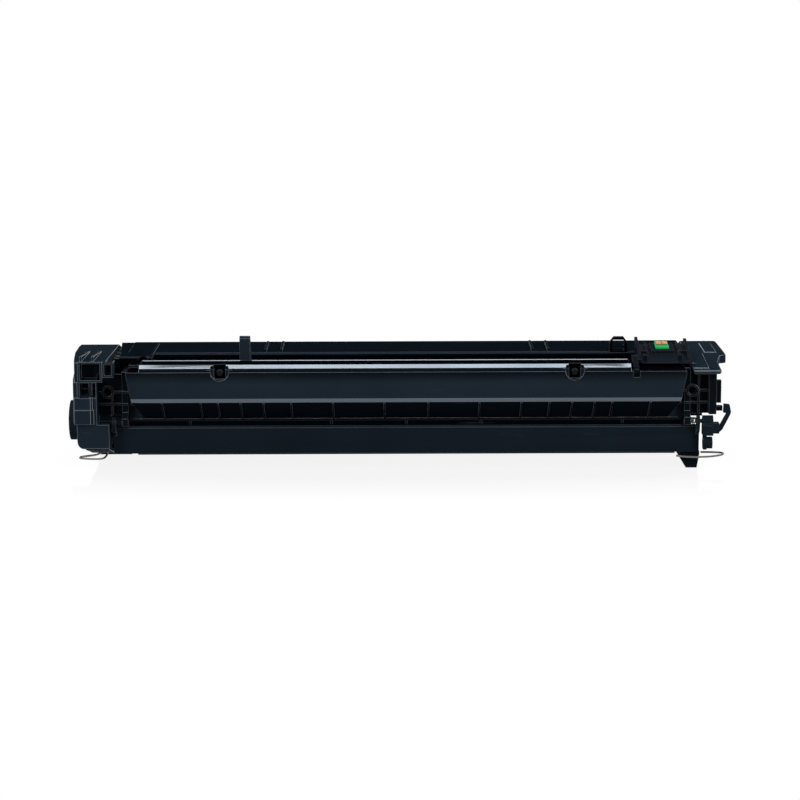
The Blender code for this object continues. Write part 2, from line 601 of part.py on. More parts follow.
def hopper_body(parent):
    edge = 0.0060
    outer = [(HOPPER_FRONT, HOPPER_TOP), (HOPPER_FRONT, HOPPER_TOP - 0.0179),
             (DEV[0] - 0.0052, DEV[1] + 0.0115),
             (DEV[0] - 0.0052, DEV[1] - 0.0100), (DEV[0] - 0.0037, DEV[1] - 0.0150),
             (DEV[0] + 0.0038, 0.0016),
             (DEV[0] + 0.0058, 0), (DEPTH - edge, 0)]
    outer += arc(DEPTH - edge, edge, edge, -60, 0, 3)
    outer += [(DEPTH, HOPPER_TOP - 0.0114), (DEPTH - 0.0050, HOPPER_TOP - 0.0044), (LID_BACK, HOPPER_TOP)]
    tub = prism("X", outer, LEFT_OUT, RIGHT_OUT)
    wall = 0.0020
    shelf_back = STIR[0] - TROUGH_R - wall
    room = [(HOPPER_FRONT + 0.0022, HOPPER_TOP + wall), (HOPPER_FRONT + 0.0022, HOPPER_TOP - 0.0162),
            (DEV[0] - 0.0034, DEV[1] + 0.0136), (shelf_back, DEV[1] + 0.0136), (shelf_back, DEV[1] + 0.0060)]
    room += arc(*STIR, TROUGH_R, 172, 360, 14)
    room += [(DEPTH - wall, HOPPER_TOP - 0.0120), (DEPTH - 0.0060, HOPPER_TOP - 0.0062),
             (LID_BACK - wall, HOPPER_TOP - 0.0032), (LID_BACK - wall, HOPPER_TOP + wall)]
    cut(tub, prism("X", room, LEFT_OUT + HOPPER_SIDE, RIGHT_OUT - HOPPER_SIDE))
    cut(tub, rod(LEFT_OUT + HOPPER_SIDE, RIGHT_OUT - HOPPER_SIDE, SLEEVE_R + 0.0007, *DEV, 32))
    cut(tub, rod(LEFT_OUT - CUT, RIGHT_OUT + CUT, DEV_SHAFT_R + RUN, *DEV),
        rod(LEFT_OUT - CUT, LEFT_OUT + 0.004, STIR_SHAFT_R + RUN, *STIR),
        rod(RIGHT_OUT - HOPPER_SIDE - CUT, RIGHT_OUT + CUT, PLUG_R + GAP, *PLUG, 24))
    fuse(tub, rod(GEAR_FACE - CUT, LEFT_OUT + 0.001, GEAR_BORE_R - RUN, *IDLER))
    fuse(tub, rod(RIGHT_OUT - HOPPER_SIDE - 0.004, RIGHT_OUT - 0.001, 0.0042, *STIR))
    cut(tub, rod(RIGHT_OUT - HOPPER_SIDE - 0.005, RIGHT_OUT - HOPPER_SIDE + 0.0008, STIR_SHAFT_R + RUN,
                 *STIR))
    keep(tub, "hopper_body", "black", parent)


def hopper_lid(parent):
    front = HOPPER_FRONT - 0.0015
    lid = prism("X", [(front, LID_LOW), (front, LID_LOW + 0.0010), (front + 0.0010, LID_TOP),
                      (LID_BACK, LID_TOP),
                      (LID_BACK, LID_LOW)], LEFT_OUT, RIGHT_OUT)
    places = (BIN_LEFT + 0.0772, BIN_LEFT + 0.0865, BIN_RIGHT - 0.0855, BIN_RIGHT - 0.0761)
    fuse(lid, *[box(x - 0.0006, x + 0.0006, front + 0.0025, LID_BACK - 0.0080, LID_LOW + 0.001,
                    LID_TOP + 0.0016)
                for x in places])
    wing_left, wing_right, wing_front = LEFT_OUT - 0.0038, BIN_LEFT + 0.0117, BIN_BACK + 0.0008
    wing = [(wing_front, PLATE_TOP - 0.0015), (wing_front, LID_TOP - 0.0006), (wing_front + 0.0006, LID_TOP),
            (front + 0.0020, LID_TOP), (front + 0.0020, LID_LOW), (wing_front + 0.0012, LID_LOW),
            (wing_front + 0.0012, PLATE_TOP - 0.0015)]
    fuse(lid, prism("X", wing, wing_left, wing_right))
    fuse(lid, prism("Z", [(wing_left + 0.0004, wing_front + 0.0030), (LEFT_OUT - 0.0080, LID_BACK - 0.0005),
                          (LEFT_OUT + 0.0020, LID_BACK - 0.0005), (LEFT_OUT + 0.0020, wing_front + 0.0030)],
                    LID_LOW + 0.0002, LID_TOP - 0.0002))
    boss_x, boss_z = BIN_LEFT + 0.0066, LID_TOP - 0.0025
    fuse(lid, prism("Y", circle(boss_x, boss_z, 0.0032), wing_front - 0.0004, wing_front + 0.0010))
    cut(lid, prism("Y", circle(boss_x, boss_z, 0.0021), wing_front - CUT, wing_front + 0.0030))
    fuse(lid, box(wing_right - 0.0012, wing_right, wing_front + 0.0004, LID_BACK - 0.0080, LID_LOW + 0.0010,
                  LID_TOP + 0.0004))
    arch_left, arch_right, arch_top = BIN_RIGHT - 0.0402, BIN_RIGHT - 0.0296, LID_TOP + 0.0085
    arch = prism("Y", [(arch_left, LID_LOW + 0.001), (arch_left, arch_top - 0.0032),
                       (arch_left + 0.0025, arch_top),
                       (arch_right - 0.0023, arch_top), (arch_right, arch_top - 0.0032),
                       (arch_right, LID_LOW + 0.001)], front + 0.0004, front + 0.0040)
    for low, high in ((0.0006, 0.0026), (0.0036, 0.0068)):
        cut(arch, box(arch_left + 0.0020, arch_right - 0.0020, front - CUT, front + 0.0060, LID_TOP + low,
                      LID_TOP + high))
    fuse(lid, arch)
    keep(lid, "hopper_lid", "black", parent)


def hopper_parts(parent):
    hopper_body(parent)
    hopper_lid(parent)
    seat, head = RIGHT_OUT + GAP, RIGHT_OUT + 0.0015
    plug = turned([(RIGHT_OUT - HOPPER_SIDE - 0.001, 0), (RIGHT_OUT - HOPPER_SIDE - 0.001, PLUG_R),
                   (seat, PLUG_R),
                   (seat, PLUG_R + 0.0015), (head, PLUG_R + 0.0015), (head, 0)], *PLUG, 24)
    keep(plug, "fill_plug", "nylon", parent)
    left, right = MID - SLEEVE_HALF, MID + SLEEVE_HALF
    blade_y, edge_z = DEV[0] + 0.0041, DEV[1] + 0.0104
    keep(box(left, right, blade_y, blade_y + 0.0012, edge_z + GAP, edge_z + 0.0078), "doctor_bracket",
         "steel", parent)
    keep(box(left, right, blade_y, blade_y + 0.0010, edge_z - 0.0017, edge_z), "doctor_blade", "urethane",
         parent)


def frame_plate(x0, x1, top):
    """A side frame's upright plate, cut back round the shutter's path."""
    back, front, hinge_front = SHUT_BACK + 0.0008, PANEL_Y - 0.0025, HINGE_Y - 0.0028
    outline = [(back, HINGE_Z - 0.0017), (back, FOOT_TOP), (FRAME_BACK - 0.0029, FOOT_TOP),
               (FRAME_BACK, FOOT_TOP + 0.0035), (FRAME_BACK, top), (front, top),
               (front, HINGE_Z + 0.0060), (hinge_front, HINGE_Z + 0.0027), (hinge_front, HINGE_Z - 0.0017)]
    return prism("X", outline, x0, x1)


def panel_ribs(plate, x0, x1, ring_x, rib_x, rib_top):
    """Two level ribs, an upright one and a ring boss with a blind bore, standing forward of a panel."""
    front, seat, ring_z = PANEL_Y - RIB_DEEP, PANEL_Y + 0.001, PANEL_LOW + 0.0138
    fuse(plate, box(x0, x1, front, seat, ring_z - 0.0005, ring_z + 0.0005),
         box(x0, x1, front, seat, PANEL_LOW + 0.0062, PANEL_LOW + 0.0072))
    fuse(plate, box(rib_x, rib_x + 0.0010, front, seat, PANEL_LOW, rib_top),
         prism("Y", circle(ring_x, ring_z, 0.0037), front - 0.0004, seat))
    cut(plate, prism("Y", circle(ring_x, ring_z, 0.0026), front - CUT, PANEL_Y + 0.0012))


def left_frame(parent):
    plate = frame_plate(LEFT_OUT, LEFT_FRAME_X, PLATE_TOP - 0.0020)
    hub_x, panel_x = LEFT_OUT - 0.0034, LEFT_OUT - 0.0138
    fuse(plate, rod(hub_x, LEFT_FRAME_X, 0.0026, HINGE_Y, HINGE_Z),
         box(panel_x, LEFT_FRAME_X, PANEL_Y, PANEL_Y + PANEL_T, PANEL_LOW, PANEL_TOP))
    panel_ribs(plate, panel_x, LEFT_FRAME_X, LEFT_OUT - 0.0084, LEFT_OUT - 0.0064, PANEL_LOW + 0.0110)
    cut(plate, rod(hub_x - CUT, LEFT_FRAME_X + CUT, PIN_R + GAP, HINGE_Y, HINGE_Z),
        rod(LEFT_OUT - CUT, LEFT_FRAME_X + CUT, NECK_R + RUN, *DRUM, 32))
    keep(plate, "left_frame", "black", parent)


def right_frame(parent):
    plate = frame_plate(RIGHT_FRAME_X, RIGHT_OUT, PLATE_TOP - 0.0005)
    out, back = RIGHT_OUT, PANEL_Y + PANEL_T
    fuse(plate, box(RIGHT_FRAME_X, out + 0.0113, PANEL_Y, back, PANEL_LOW, PANEL_TOP),
         box(out + 0.0107, out + 0.0150, 0.0125, back, PANEL_LOW, PANEL_TOP),
         box(out + 0.0143, out + 0.0180, 0.0155, back, PANEL_LOW + 0.0062, PANEL_TOP - 0.0045),
         box(out + 0.0143, out + 0.0188, 0.0150, back, PANEL_LOW + 0.0016, PANEL_LOW + 0.0044))
    panel_ribs(plate, RIGHT_FRAME_X, out + 0.0113, out + 0.0013, out + 0.0044, PANEL_TOP)
    foot = prism("Y", [(out - 0.0065, FOOT_TOP - 0.0013), (out - 0.0045, FOOT_TOP + 0.0005),
                       (out + 0.0063, FOOT_TOP + 0.0005), (out + 0.0063, FOOT_TOP - 0.0013),
                       (out + 0.0049, 0),
                       (out - 0.0015, 0)], SHUT_BACK + 0.0008, SHUT_BACK + 0.0097)
    fuse(plate, foot)
    fuse(plate, rod(RIGHT_FRAME_X, out + 0.0006, 0.0026, HINGE_Y, HINGE_Z))
    cut(plate, rod(RIGHT_FRAME_X - CUT, out + 0.002, PIN_R + GAP, HINGE_Y, HINGE_Z),
        rod(RIGHT_FRAME_X - CUT, out + CUT, DRUM_PIN_R + GAP, *DRUM, 20))
    keep(plate, "right_frame", "black", parent)


def shutter_parts(parent, root):
    origin = (MID, HINGE_Y, HINGE_Z)
    left, right = LEFT_OUT - SHUT_OVER, RIGHT_OUT + SHUT_OVER
    bow = SHUT_LOW - 0.0012
    tray = [(SHUT_Y + 0.0003, SHUT_LOW + 0.0040), (SHUT_Y + 0.0003, SHUT_LOW + 0.0008),
            (SHUT_Y + 0.0012, bow + 0.0004),
            (SHUT_Y + 0.0045, bow), (SHUT_REACH, 0.0056), (SHUT_REACH, 0.0072),
            (SHUT_Y + 0.0050, bow + 0.0017),
            (SHUT_BACK - 0.0003, SHUT_LOW + 0.0022), (SHUT_BACK - 0.0003, SHUT_LOW + 0.0040)]
    shield = prism("X", tray, BIN_LEFT + 0.0045, BIN_RIGHT - 0.0045)
    plate = prism("X", [(SHUT_Y + 0.0005, SHUT_TOP), (SHUT_Y + 0.0005, SHUT_TOP - 0.0010),
                        (SHUT_Y, SHUT_TOP - 0.0012),
                        (SHUT_Y, SHUT_LOW + 0.0012), (SHUT_Y + 0.0006, SHUT_LOW), (SHUT_BACK, SHUT_LOW),
                        (SHUT_BACK, SHUT_TOP)], left, right)
    fuse(shield, plate)
    for inner_x in (left, right - ARM_T):
        eye = arc(HINGE_Y, HINGE_Z, EYE_R, -10, 215, 12)
        arm = [(SHUT_BACK, SHUT_LOW + 0.0022), (SHUT_BACK, HINGE_Z - 0.0040)] + eye
        arm += [(HINGE_Y - 0.0016, SHUT_TOP - 0.0030), (SHUT_Y + 0.0006, SHUT_TOP - 0.0060),
                (SHUT_Y + 0.0006, SHUT_LOW + 0.0022)]
        fuse(shield, prism("X", arm, inner_x, inner_x + ARM_T))
        cut(shield, rod(inner_x - CUT, inner_x + ARM_T + CUT, PIN_R + RUN, HINGE_Y, HINGE_Z))
    keep(shield, "shutter", "black", parent, origin)

    x = right + 0.0016
    low, front, back = HINGE_Z - 0.0081, HINGE_Y - 0.0040, HINGE_Y + 0.0040
    outline = arc(HINGE_Y, HINGE_Z, EYE_R, -20, 200, 12)
    outline += [(front, HINGE_Z - 0.0023), (front, low), (back, low), (back, HINGE_Z - 0.0023)]
    lever = prism("X", outline, x, x + 0.0060)
    fuse(lever, box(x + 0.005, x + 0.0095, front + 0.0010, back - 0.0010, low + 0.0011, low + 0.0071),
         box(x + 0.0004, x + 0.0024, front + 0.0015, back - 0.0015, low - 0.0084, low + 0.0016),
         rod(x + 0.0004, x + 0.0057, 0.0035, HINGE_Y, low - 0.0047))
    hook = [(0.0089, -0.0055), (0.0099, -0.0063), (0.0115, -0.0047), (0.0159, 0.0040), (0.0163, 0.0055),
            (0.0154, 0.0097), (0.0121, 0.0100), (0.0119, 0.0050), (0.0139, 0.0047), (0.0101, -0.0023),
            (0.0089, -0.0023)]
    fuse(lever, prism("Y", [(x + out, HINGE_Z + up) for out, up in hook], HINGE_Y - 0.0015,
                      HINGE_Y + 0.0015))
    cut(lever, rod(x - CUT, x + 0.0050, PIN_R + GAP, HINGE_Y, HINGE_Z))
    keep(lever, "shutter_lever", "black", parent, origin)

    keep(rod(left - 0.0008, LEFT_FRAME_X - 0.0002, PIN_R, HINGE_Y, HINGE_Z, 12), "hinge_pin_left", "steel",
         root)
    keep(rod(RIGHT_FRAME_X + 0.0002, x + 0.0046, PIN_R, HINGE_Y, HINGE_Z, 12), "hinge_pin_right", "steel",
         root)
    coil = helix((HINGE_Y, HINGE_Z), 0.0021, 2.5, RIGHT_OUT + 0.0010, right - ARM_T - 0.0007, "X")
    keep(wire(coil, 0.0003), "shutter_spring", "steel", root)


def smooth_path(points, per_span=6):
    """Points on a smooth curve through a list of places."""
    path = []
    for k in range(len(points) - 1):
        before, start = points[max(k - 1, 0)], points[k]
        end, after = points[k + 1], points[min(k + 2, len(points) - 1)]
        for step in range(per_span):
            t = step / per_span
            path.append([0.5 * (2 * b + (c - a) * t + (2 * a - 5 * b + 4 * c - d) * t ** 2
                                + (3 * b - a - 3 * c + d) * t ** 3)
                         for a, b, c, d in zip(before, start, end, after)])
    return path + [list(points[-1])]


def wire_loops(parent):
    """Two bent hairpins; X is measured from the side frames' outer faces."""
    left = [(-0.0135, 0.0180, 0.0108), (-0.0139, 0.0172, 0.0100), (-0.0165, 0.0150, 0.0094),
            (-0.0230, 0.0125, 0.0090), (-0.0247, 0.0105, 0.0088), (-0.0230, 0.0088, 0.0086),
            (-0.0155, 0.0082, 0.0084), (-0.0110, 0.0092, 0.0086), (-0.0093, 0.0118, 0.0100),
            (-0.0087, 0.0130, 0.0120)]
    right = [(-0.0072, 0.0174, 0.0074), (-0.0037, 0.0164, 0.0071), (0.0041, 0.0156, 0.0069),
             (0.0120, 0.0144, 0.0074), (0.0180, 0.0146, 0.0082), (0.0200, 0.0170, 0.0086),
             (0.0185, 0.0200, 0.0086), (0.0123, 0.0214, 0.0086), (0.0073, 0.0216, 0.0086)]
    for points, base, word in ((left, LEFT_OUT, "left"), (right, RIGHT_OUT, "right")):
        path = smooth_path([(base + x, y, z) for x, y, z in points], 4)
        keep(wire(path, LOOP_R), f"wire_loop_{word}", "steel", parent)


def left_cap(parent):
    out, top, back = LEFT_OUT, CAP_TOP, DEPTH
    side = [(CAP_FRONT, 0.0145), (CAP_FRONT + 0.0025, 0.0132), (0.0250, 0.0095), (0.0330, 0.0072),
            (0.0560, 0.0072), (0.0640, 0.0), (back - 0.0080, 0.0), (back - 0.0025, 0.0060),
            (back - 0.0025, top - 0.0175), (back - 0.0110, top - 0.0055), (back - 0.0260, top - 0.0012),
            (CAP_FRONT + 0.0020, top), (CAP_FRONT, top - 0.0010)]
    shell = prism("X", side, LEFT_END, out + 0.0025)
    plan = [(out - 0.0263, 0.0060), (out - 0.0268, 0.0100), (out - 0.0280, 0.0200), (out - 0.0305, 0.0450),
            (out - 0.0315, 0.0700), (out - 0.0305, 0.1000), (out - 0.0280, back - CUT),
            (out - GAP, back - CUT),
            (out - GAP, HOPPER_FRONT + 0.0005), (out - 0.0043, HOPPER_FRONT + 0.0005),
            (out - 0.0043, 0.0060)]
    corner = arc(out - 0.0212, 0.0184, 0.0045, 270, 180, 4)
    face = [(out + 0.004, -CUT), (out - 0.0195, -CUT)] + corner
    face += [(out - 0.0257, HINGE_Z), (out - 0.0330, HINGE_Z + 0.0005), (out - 0.0330, top + CUT),
             (out + 0.004, top + CUT)]
    combine(shell, "INTERSECT", [prism("Z", plan, -CUT, top + CUT), prism("Y", face, 0, back)])
    room = prism("X", [(0.0200, 0.0150), (0.0310, 0.0090), (0.0570, 0.0090), (0.0650, 0.0020),
                       (back - 0.0095, 0.0020), (back - 0.0045, 0.0070), (back - 0.0045, top - 0.0185),
                       (back - 0.0120, top - 0.0075), (back - 0.0270, top - 0.0080), (0.0200, top - 0.0080)],
                 out - 0.0320, out + 0.0110)
    room_plan = [(out - 0.0260, 0.0200), (out - 0.0285, 0.0450), (out - 0.0295, 0.0700),
                 (out - 0.0285, 0.1000),
                 (out - 0.0275, back - 0.0048), (out + 0.0110, back - 0.0048), (out + 0.0110, 0.0200)]
    room_face = [(out + 0.0110, -CUT), (out - 0.0175, -CUT), (out - 0.0237, 0.0190),
                 (out - 0.0237, HINGE_Z + 0.0015),
                 (out - 0.0310, HINGE_Z + 0.0025), (out - 0.0310, top), (out + 0.0110, top)]
    combine(room, "INTERSECT", [prism("Z", room_plan, -CUT, top), prism("Y", room_face, 0, back)])
    cut(shell, room)
    cut(shell, box(out - 0.0072, out + 0.0110, 0.0, HOPPER_FRONT + 0.0005, 0.0, PANEL_TOP + GAP),
        box(out - 0.0141, out + 0.0110, 0.0, PANEL_Y + PANEL_T + GAP, HINGE_Z - 0.0001, PANEL_TOP + GAP))
    left_cap_front(shell)
    left_cap_top(shell)
    disc_r, disc_wall = 0.01165, 0.0022
    fuse(shell, tube(LEFT_END, out - 0.0245, disc_r, disc_r - disc_wall, *DRUM, 40))
    cut(shell, rod(LEFT_END - CUT, out - 0.0225, disc_r - disc_wall, *DRUM, 40))
    fuse(shell, rod(out - 0.0250, GEAR_FACE - 0.0025, 0.0042, *STIR),
         rod(out - 0.0250, GEAR_FACE - 0.0025, 0.0048, *DEV))
    keep(shell, "left_end_cap", "black", parent)


def left_cap_front(shell):
    """The blocks, framed pockets and ramped recesses of the left cap's front."""
    out, low = LEFT_OUT, HINGE_Z + 0.0003
    step_z, ledge_z = HINGE_Z + 0.0087, PANEL_TOP - 0.0033
    block = [(out - 0.0268, 0.0060), (out - 0.0175, 0.0060), (out - 0.0142, 0.0100), (out - 0.0142, 0.0190),
             (out - 0.0268, 0.0190)]
    fuse(shell, prism("Z", block, low, step_z))
    fuse(shell, prism("Z", [(x, y + 0.0008) for x, y in block], step_z - 0.0005, step_z + 0.0072))
    flank = [(out - 0.0274, 0.0075), (out - 0.0290, 0.0200), (out - 0.0314, 0.0450), (out - 0.0321, 0.0700),
             (out - 0.0300, 0.0700), (out - 0.0262, 0.0200), (out - 0.0250, 0.0075)]
    fuse(shell, prism("Z", flank, HINGE_Z + 0.0010, ledge_z))
    ramp = [(0, ledge_z - 0.0004), (0.0150, ledge_z - 0.0004), (0.0150, ledge_z - 0.0050),
            (CAP_FRONT + 0.0005, step_z + 0.0070), (0, step_z + 0.0070)]
    cut(shell, prism("X", ramp, out - 0.0237, out - 0.0184), prism("X", ramp, out - 0.0164, out - 0.0145))
    for x0, x1, z0, z1, proud in ((0.0233, 0.0117, 0.0109, 0.0013, 0.0012),
                                  (0.0092, 0.0052, 0.0082, 0.0020, 0.0006)):
        rim = 0.0013
        fuse(shell, box(out - x0 - rim, out - x1 + rim, CAP_FRONT - proud, CAP_FRONT + 0.001,
                        CAP_TOP - z0 - rim,
                        CAP_TOP - z1 + rim - 0.0003))
        cut(shell, box(out - x0, out - x1, 0, CAP_FRONT + 0.0075, CAP_TOP - z0, CAP_TOP - z1))


def left_cap_top(shell):
    """The open slot beside the left cap's top, with cross bars behind it, and the two fins on top."""
    out, step = LEFT_OUT, LEFT_OUT - 0.0083
    cut(shell, box(step, out + 0.0110, -CUT, HOPPER_FRONT - 0.0005, CAP_TOP - 0.0010, CAP_TOP + CUT),
        box(step, out + 0.0110, 0.0185, HOPPER_FRONT - 0.0015, PANEL_TOP - 0.0020, CAP_TOP + CUT),
        box(step, out + 0.0110, HOPPER_FRONT - 0.0020, DEPTH, CAP_TOP - 0.0050, CAP_TOP + CUT))
    for y in (0.0560, 0.0680, 0.0800):
        fuse(shell, box(step - 0.0007, out - GAP, y, y + 0.0016, CAP_TOP - 0.0060, CAP_TOP - 0.0042))
    eye = prism("Y", circle(out - 0.0062, CAP_TOP - 0.0068, 0.0028), HOPPER_FRONT + 0.0002,
                HOPPER_FRONT + 0.0018)
    fuse(shell, eye)
    cut(shell, prism("Y", circle(out - 0.0062, CAP_TOP - 0.0064, 0.0017), HOPPER_FRONT - CUT,
                     HOPPER_FRONT + 0.0016))
    for x in (out - 0.0236, out - 0.0168):
        fin = [(CAP_FRONT + 0.0015, CAP_TOP - 0.001), (CAP_FRONT + 0.0015, CAP_TOP + 0.0026),
               (0.0480, CAP_TOP - 0.0003), (0.0480, CAP_TOP - 0.001)]
        fuse(shell, prism("X", fin, x, x + 0.0015))


def right_cap(parent):
    out, top, back = RIGHT_OUT, LID_TOP, DEPTH - 0.0040
    line = [(0.0100, top - 0.0049), (0.0300, top - 0.0031), (0.0560, top - 0.0005), (DEPTH - 0.0160, top)]

    def height(y):
        for (y0, z0), (y1, z1) in zip(line, line[1:]):
            if y <= y1:
                return z0 + (z1 - z0) * (y - y0) / (y1 - y0)
        return top

    low = top - 0.0065
    block = prism("X", [(0.0100, low)] + line + [(back - 0.0020, top - 0.0037), (back, low)], out + 0.0015,
                  RIGHT_END + CUT)
    corner = 0.0023
    face = [(out - 0.008, low - 0.010), (out - 0.008, top + CUT), (RIGHT_END - corner, top + CUT)]
    face += arc(RIGHT_END - corner, top - corner, corner, 90, 0, 4) + [(RIGHT_END, low - 0.010)]
    plan = [(out - 0.008, 0), (out + 0.0173, 0), (out + 0.0173, 0.0300), (out + 0.0203, 0.0440),
            (RIGHT_END - 0.0015, 0.0450), (RIGHT_END, 0.0470), (RIGHT_END, back - 0.0080),
            (RIGHT_END - 0.0060, back + 0.0005), (out - 0.008, back + 0.0005)]
    combine(block, "INTERSECT", [prism("Y", face, 0, DEPTH), prism("Z", plan, low - 0.010, top + 0.010)])
    roof = top - 0.0047
    cut(block, box(out + 0.0045, out + 0.0150, 0.0240, back - 0.0035, low - CUT, roof),
        box(out + 0.0140, RIGHT_END - 0.0030, 0.0480, back - 0.0040, low - 0.0012, roof - 0.0002))
    for x0, x1, y0, y1 in ((0.0016, 0.0105, 0.0140, 0.0480), (0.0122, 0.0190, 0.0505, 0.0800)):
        pad = [(y0, height(y0) - 0.001), (y0, height(y0) + 0.0005), (y1, height(y1) + 0.0005),
               (y1, height(y1) - 0.001)]
        fuse(block, prism("X", pad, out + x0, out + x1))
    fuse(block, box(out + 0.0018, out + 0.0165, 0.0076, 0.0106, low - 0.0003, low + 0.0012))
    cut(block, prism("Z", circle(out + 0.0032, 0.0238, 0.0010, 10), low + 0.0010, top))
    inner = out + GAP
    wall = prism("X", [(HOPPER_FRONT + 0.0010, 0.0080), (HOPPER_FRONT + 0.0070, 0.0040),
                       (DEPTH - 0.0060, 0.0040),
                       (DEPTH - 0.0030, 0.0080), (DEPTH - 0.0030, low - 0.0072),
                       (DEPTH - 0.0060, low + 0.0008),
                       (HOPPER_FRONT + 0.0010, low + 0.0008)], inner, inner + 0.0022)
    cut(wall, rod(inner - CUT, inner + 0.003, PLUG_R + 0.0020, *PLUG, 24))
    fuse(wall, block)
    keep(wall, "right_end_cap", "black", parent)


FIN_B, FIN_C = BIN_RIGHT - 0.0247, BIN_RIGHT + 0.0041
FIN_T = 0.0016


def chip_parts(parent):
    base, rear = BIN_TOP + GAP, LID_TOP + GAP + 0.0001
    end = HOPPER_FRONT - 0.0015
    holder = prism("X", [(0.0160, base), (0.0220, base + 0.0009), (end, rear + 0.0040), (end, rear),
                         (end - 0.0040, rear - 0.0001), (0.0350, base)], FIN_B, FIN_C)
    fin_b = prism("X", [(0.0170, base), (0.0170, base + 0.0011), (end, rear + 0.0080),
                        (end + 0.0020, rear + 0.0080),
                        (end + 0.0020, rear), (end - 0.0100, base + 0.0006)], FIN_B - FIN_T / 2,
                        FIN_B + FIN_T / 2)
    fin_c = prism("X", [(0.0140, base - 0.0014), (0.0140, base + 0.0001), (end, rear + 0.0070),
                        (end + 0.0020, rear + 0.0070), (end + 0.0020, rear), (0.0360, base),
                        (0.0350, base - 0.0014)],
                  FIN_C - FIN_T / 2, FIN_C + FIN_T / 2)
    fuse(holder, fin_b, fin_c)
    seat_front, seat_back, slope = 0.0330, 0.0470, 0.0026 / 0.0140
    seat_z = base + 0.0047
    fuse(holder, prism("X", [(seat_front, base + 0.0015), (seat_front, seat_z), (seat_back, seat_z + 0.0026),
                             (seat_back, rear)], FIN_B + 0.0076, FIN_B + 0.0208))
    for x in (FIN_B + 0.0052, FIN_C - 0.0052):
        fuse(holder, prism("X", [(0.0300, base + 0.0010), (0.0300, base + 0.0038), (end, rear + 0.0054),
                                 (end, rear + 0.0010)], x - 0.0005, x + 0.0005))
    for x0, x1 in ((FIN_B, FIN_B + 0.0052), (FIN_C - 0.0052, FIN_C)):
        fuse(holder, box(x0, x1, 0.0330, 0.0340, base + 0.0012, base + 0.0046))
    tongue_back = 0.0190
    fuse(holder, prism("X", [(0.0020, base - 0.0049), (0.0020, base - 0.0014), (0.0150, base + 0.0046),
                             (tongue_back, base + 0.0046), (tongue_back, base + 0.0003),
                             (0.0040, base + 0.0003),
                             (0.0040, base - 0.0049)], TONGUE_LEFT, TONGUE_LEFT + TONGUE_W))
    fuse(holder, box(TONGUE_LEFT + 0.001, FIN_B + 0.0005, 0.0168, tongue_back, base + 0.0003, base + 0.0021))
    fuse(holder, *[prism("X", [(0.0205, base + 0.0001), (0.0205, base + 0.0041), (0.0235, base + 0.0045),
                               (0.0235, base + 0.0001)], x - 0.0011, x + 0.0011)
                   for x in (FIN_B + 0.0028, FIN_B + 0.0231)])
    keep(holder, "chip_holder", "black", parent)

    def on_seat(y0, y1, low, high):
        corners = ((y0, low), (y0, high), (y1, high), (y1, low))
        return [(y, seat_z + GAP + up + slope * (y - seat_front)) for y, up in corners]

    board_t, pad_t = 0.0010, 0.0004
    keep(prism("X", on_seat(0.0350, 0.0455, 0, board_t), FIN_B + 0.0102, FIN_B + 0.0180), "chip_board",
         "board",
         parent)
    for number, x in enumerate((FIN_B + 0.0108, FIN_B + 0.0144), 1):
        keep(prism("X", on_seat(0.0398, 0.0443, board_t + GAP, board_t + GAP + pad_t), x, x + 0.0031),
             f"chip_contact_{number}", "gold", parent)


def main():
    clear_scene()
    world = bpy.data.objects.new("cartridge", None)
    bpy.context.scene.collection.objects.link(world)
    world.location = (0, -DEPTH / 2, 0)
    drum = body("drum_axis", world, (MID, *DRUM))
    charge = body("charge_axis", world, (MID, *CHARGE))
    developer = body("developer_axis", world, (MID, *DEV))
    idler = body("idler_axis", world, (GEAR_IN, *IDLER))
    stirrer = body("agitator_axis", world, (MID, *STIR))
    shutter = body("shutter_axis", world, (MID, HINGE_Y, HINGE_Z))
    waste_bin(world)
    waste_bin_cover(world)
    cleaning_parts(world)
    left_frame(world)
    right_frame(world)
    drum_parts(drum, world)
    charge_parts(charge, world)
    developer_parts(developer, world)
    hopper_parts(world)
    stirring_parts(idler, stirrer)
    shutter_parts(shutter, world)
    wire_loops(world)
    left_cap(world)
    right_cap(world)
    chip_parts(world)


main()
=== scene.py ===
"""Wide laser toner cartridge, finished on its construction model."""
import json
import math

import bmesh
import bpy
from mathutils import Matrix, Vector


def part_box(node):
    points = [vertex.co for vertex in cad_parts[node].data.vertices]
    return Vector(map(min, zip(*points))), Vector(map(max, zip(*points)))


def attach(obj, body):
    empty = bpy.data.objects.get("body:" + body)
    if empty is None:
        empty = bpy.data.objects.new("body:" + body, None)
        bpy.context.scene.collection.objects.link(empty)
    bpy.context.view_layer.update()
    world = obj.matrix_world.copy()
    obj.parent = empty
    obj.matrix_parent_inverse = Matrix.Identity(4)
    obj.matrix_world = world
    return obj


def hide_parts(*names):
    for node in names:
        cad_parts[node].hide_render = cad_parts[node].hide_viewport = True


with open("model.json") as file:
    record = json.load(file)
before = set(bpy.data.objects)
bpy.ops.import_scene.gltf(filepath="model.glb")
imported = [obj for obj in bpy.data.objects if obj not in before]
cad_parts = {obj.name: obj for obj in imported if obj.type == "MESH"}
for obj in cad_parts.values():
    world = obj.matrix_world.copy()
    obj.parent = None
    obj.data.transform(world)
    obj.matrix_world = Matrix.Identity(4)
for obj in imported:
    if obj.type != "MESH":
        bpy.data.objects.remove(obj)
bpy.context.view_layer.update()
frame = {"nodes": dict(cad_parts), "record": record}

# Camera. The photograph was taken from in front with a long lens, ten degrees above the
# cartridge, and turned a fifth of a degree.
CAMERA_DISTANCE = 1.450
CAMERA_RISE = math.radians(10.0)
CAMERA_ROLL = math.radians(-0.2)
CAMERA_AIM = Vector((0.0, -0.0330, 0.0403))
LENS_MM, FILM_MM = 112.5, 36.0
SIGHT_END = 50.0


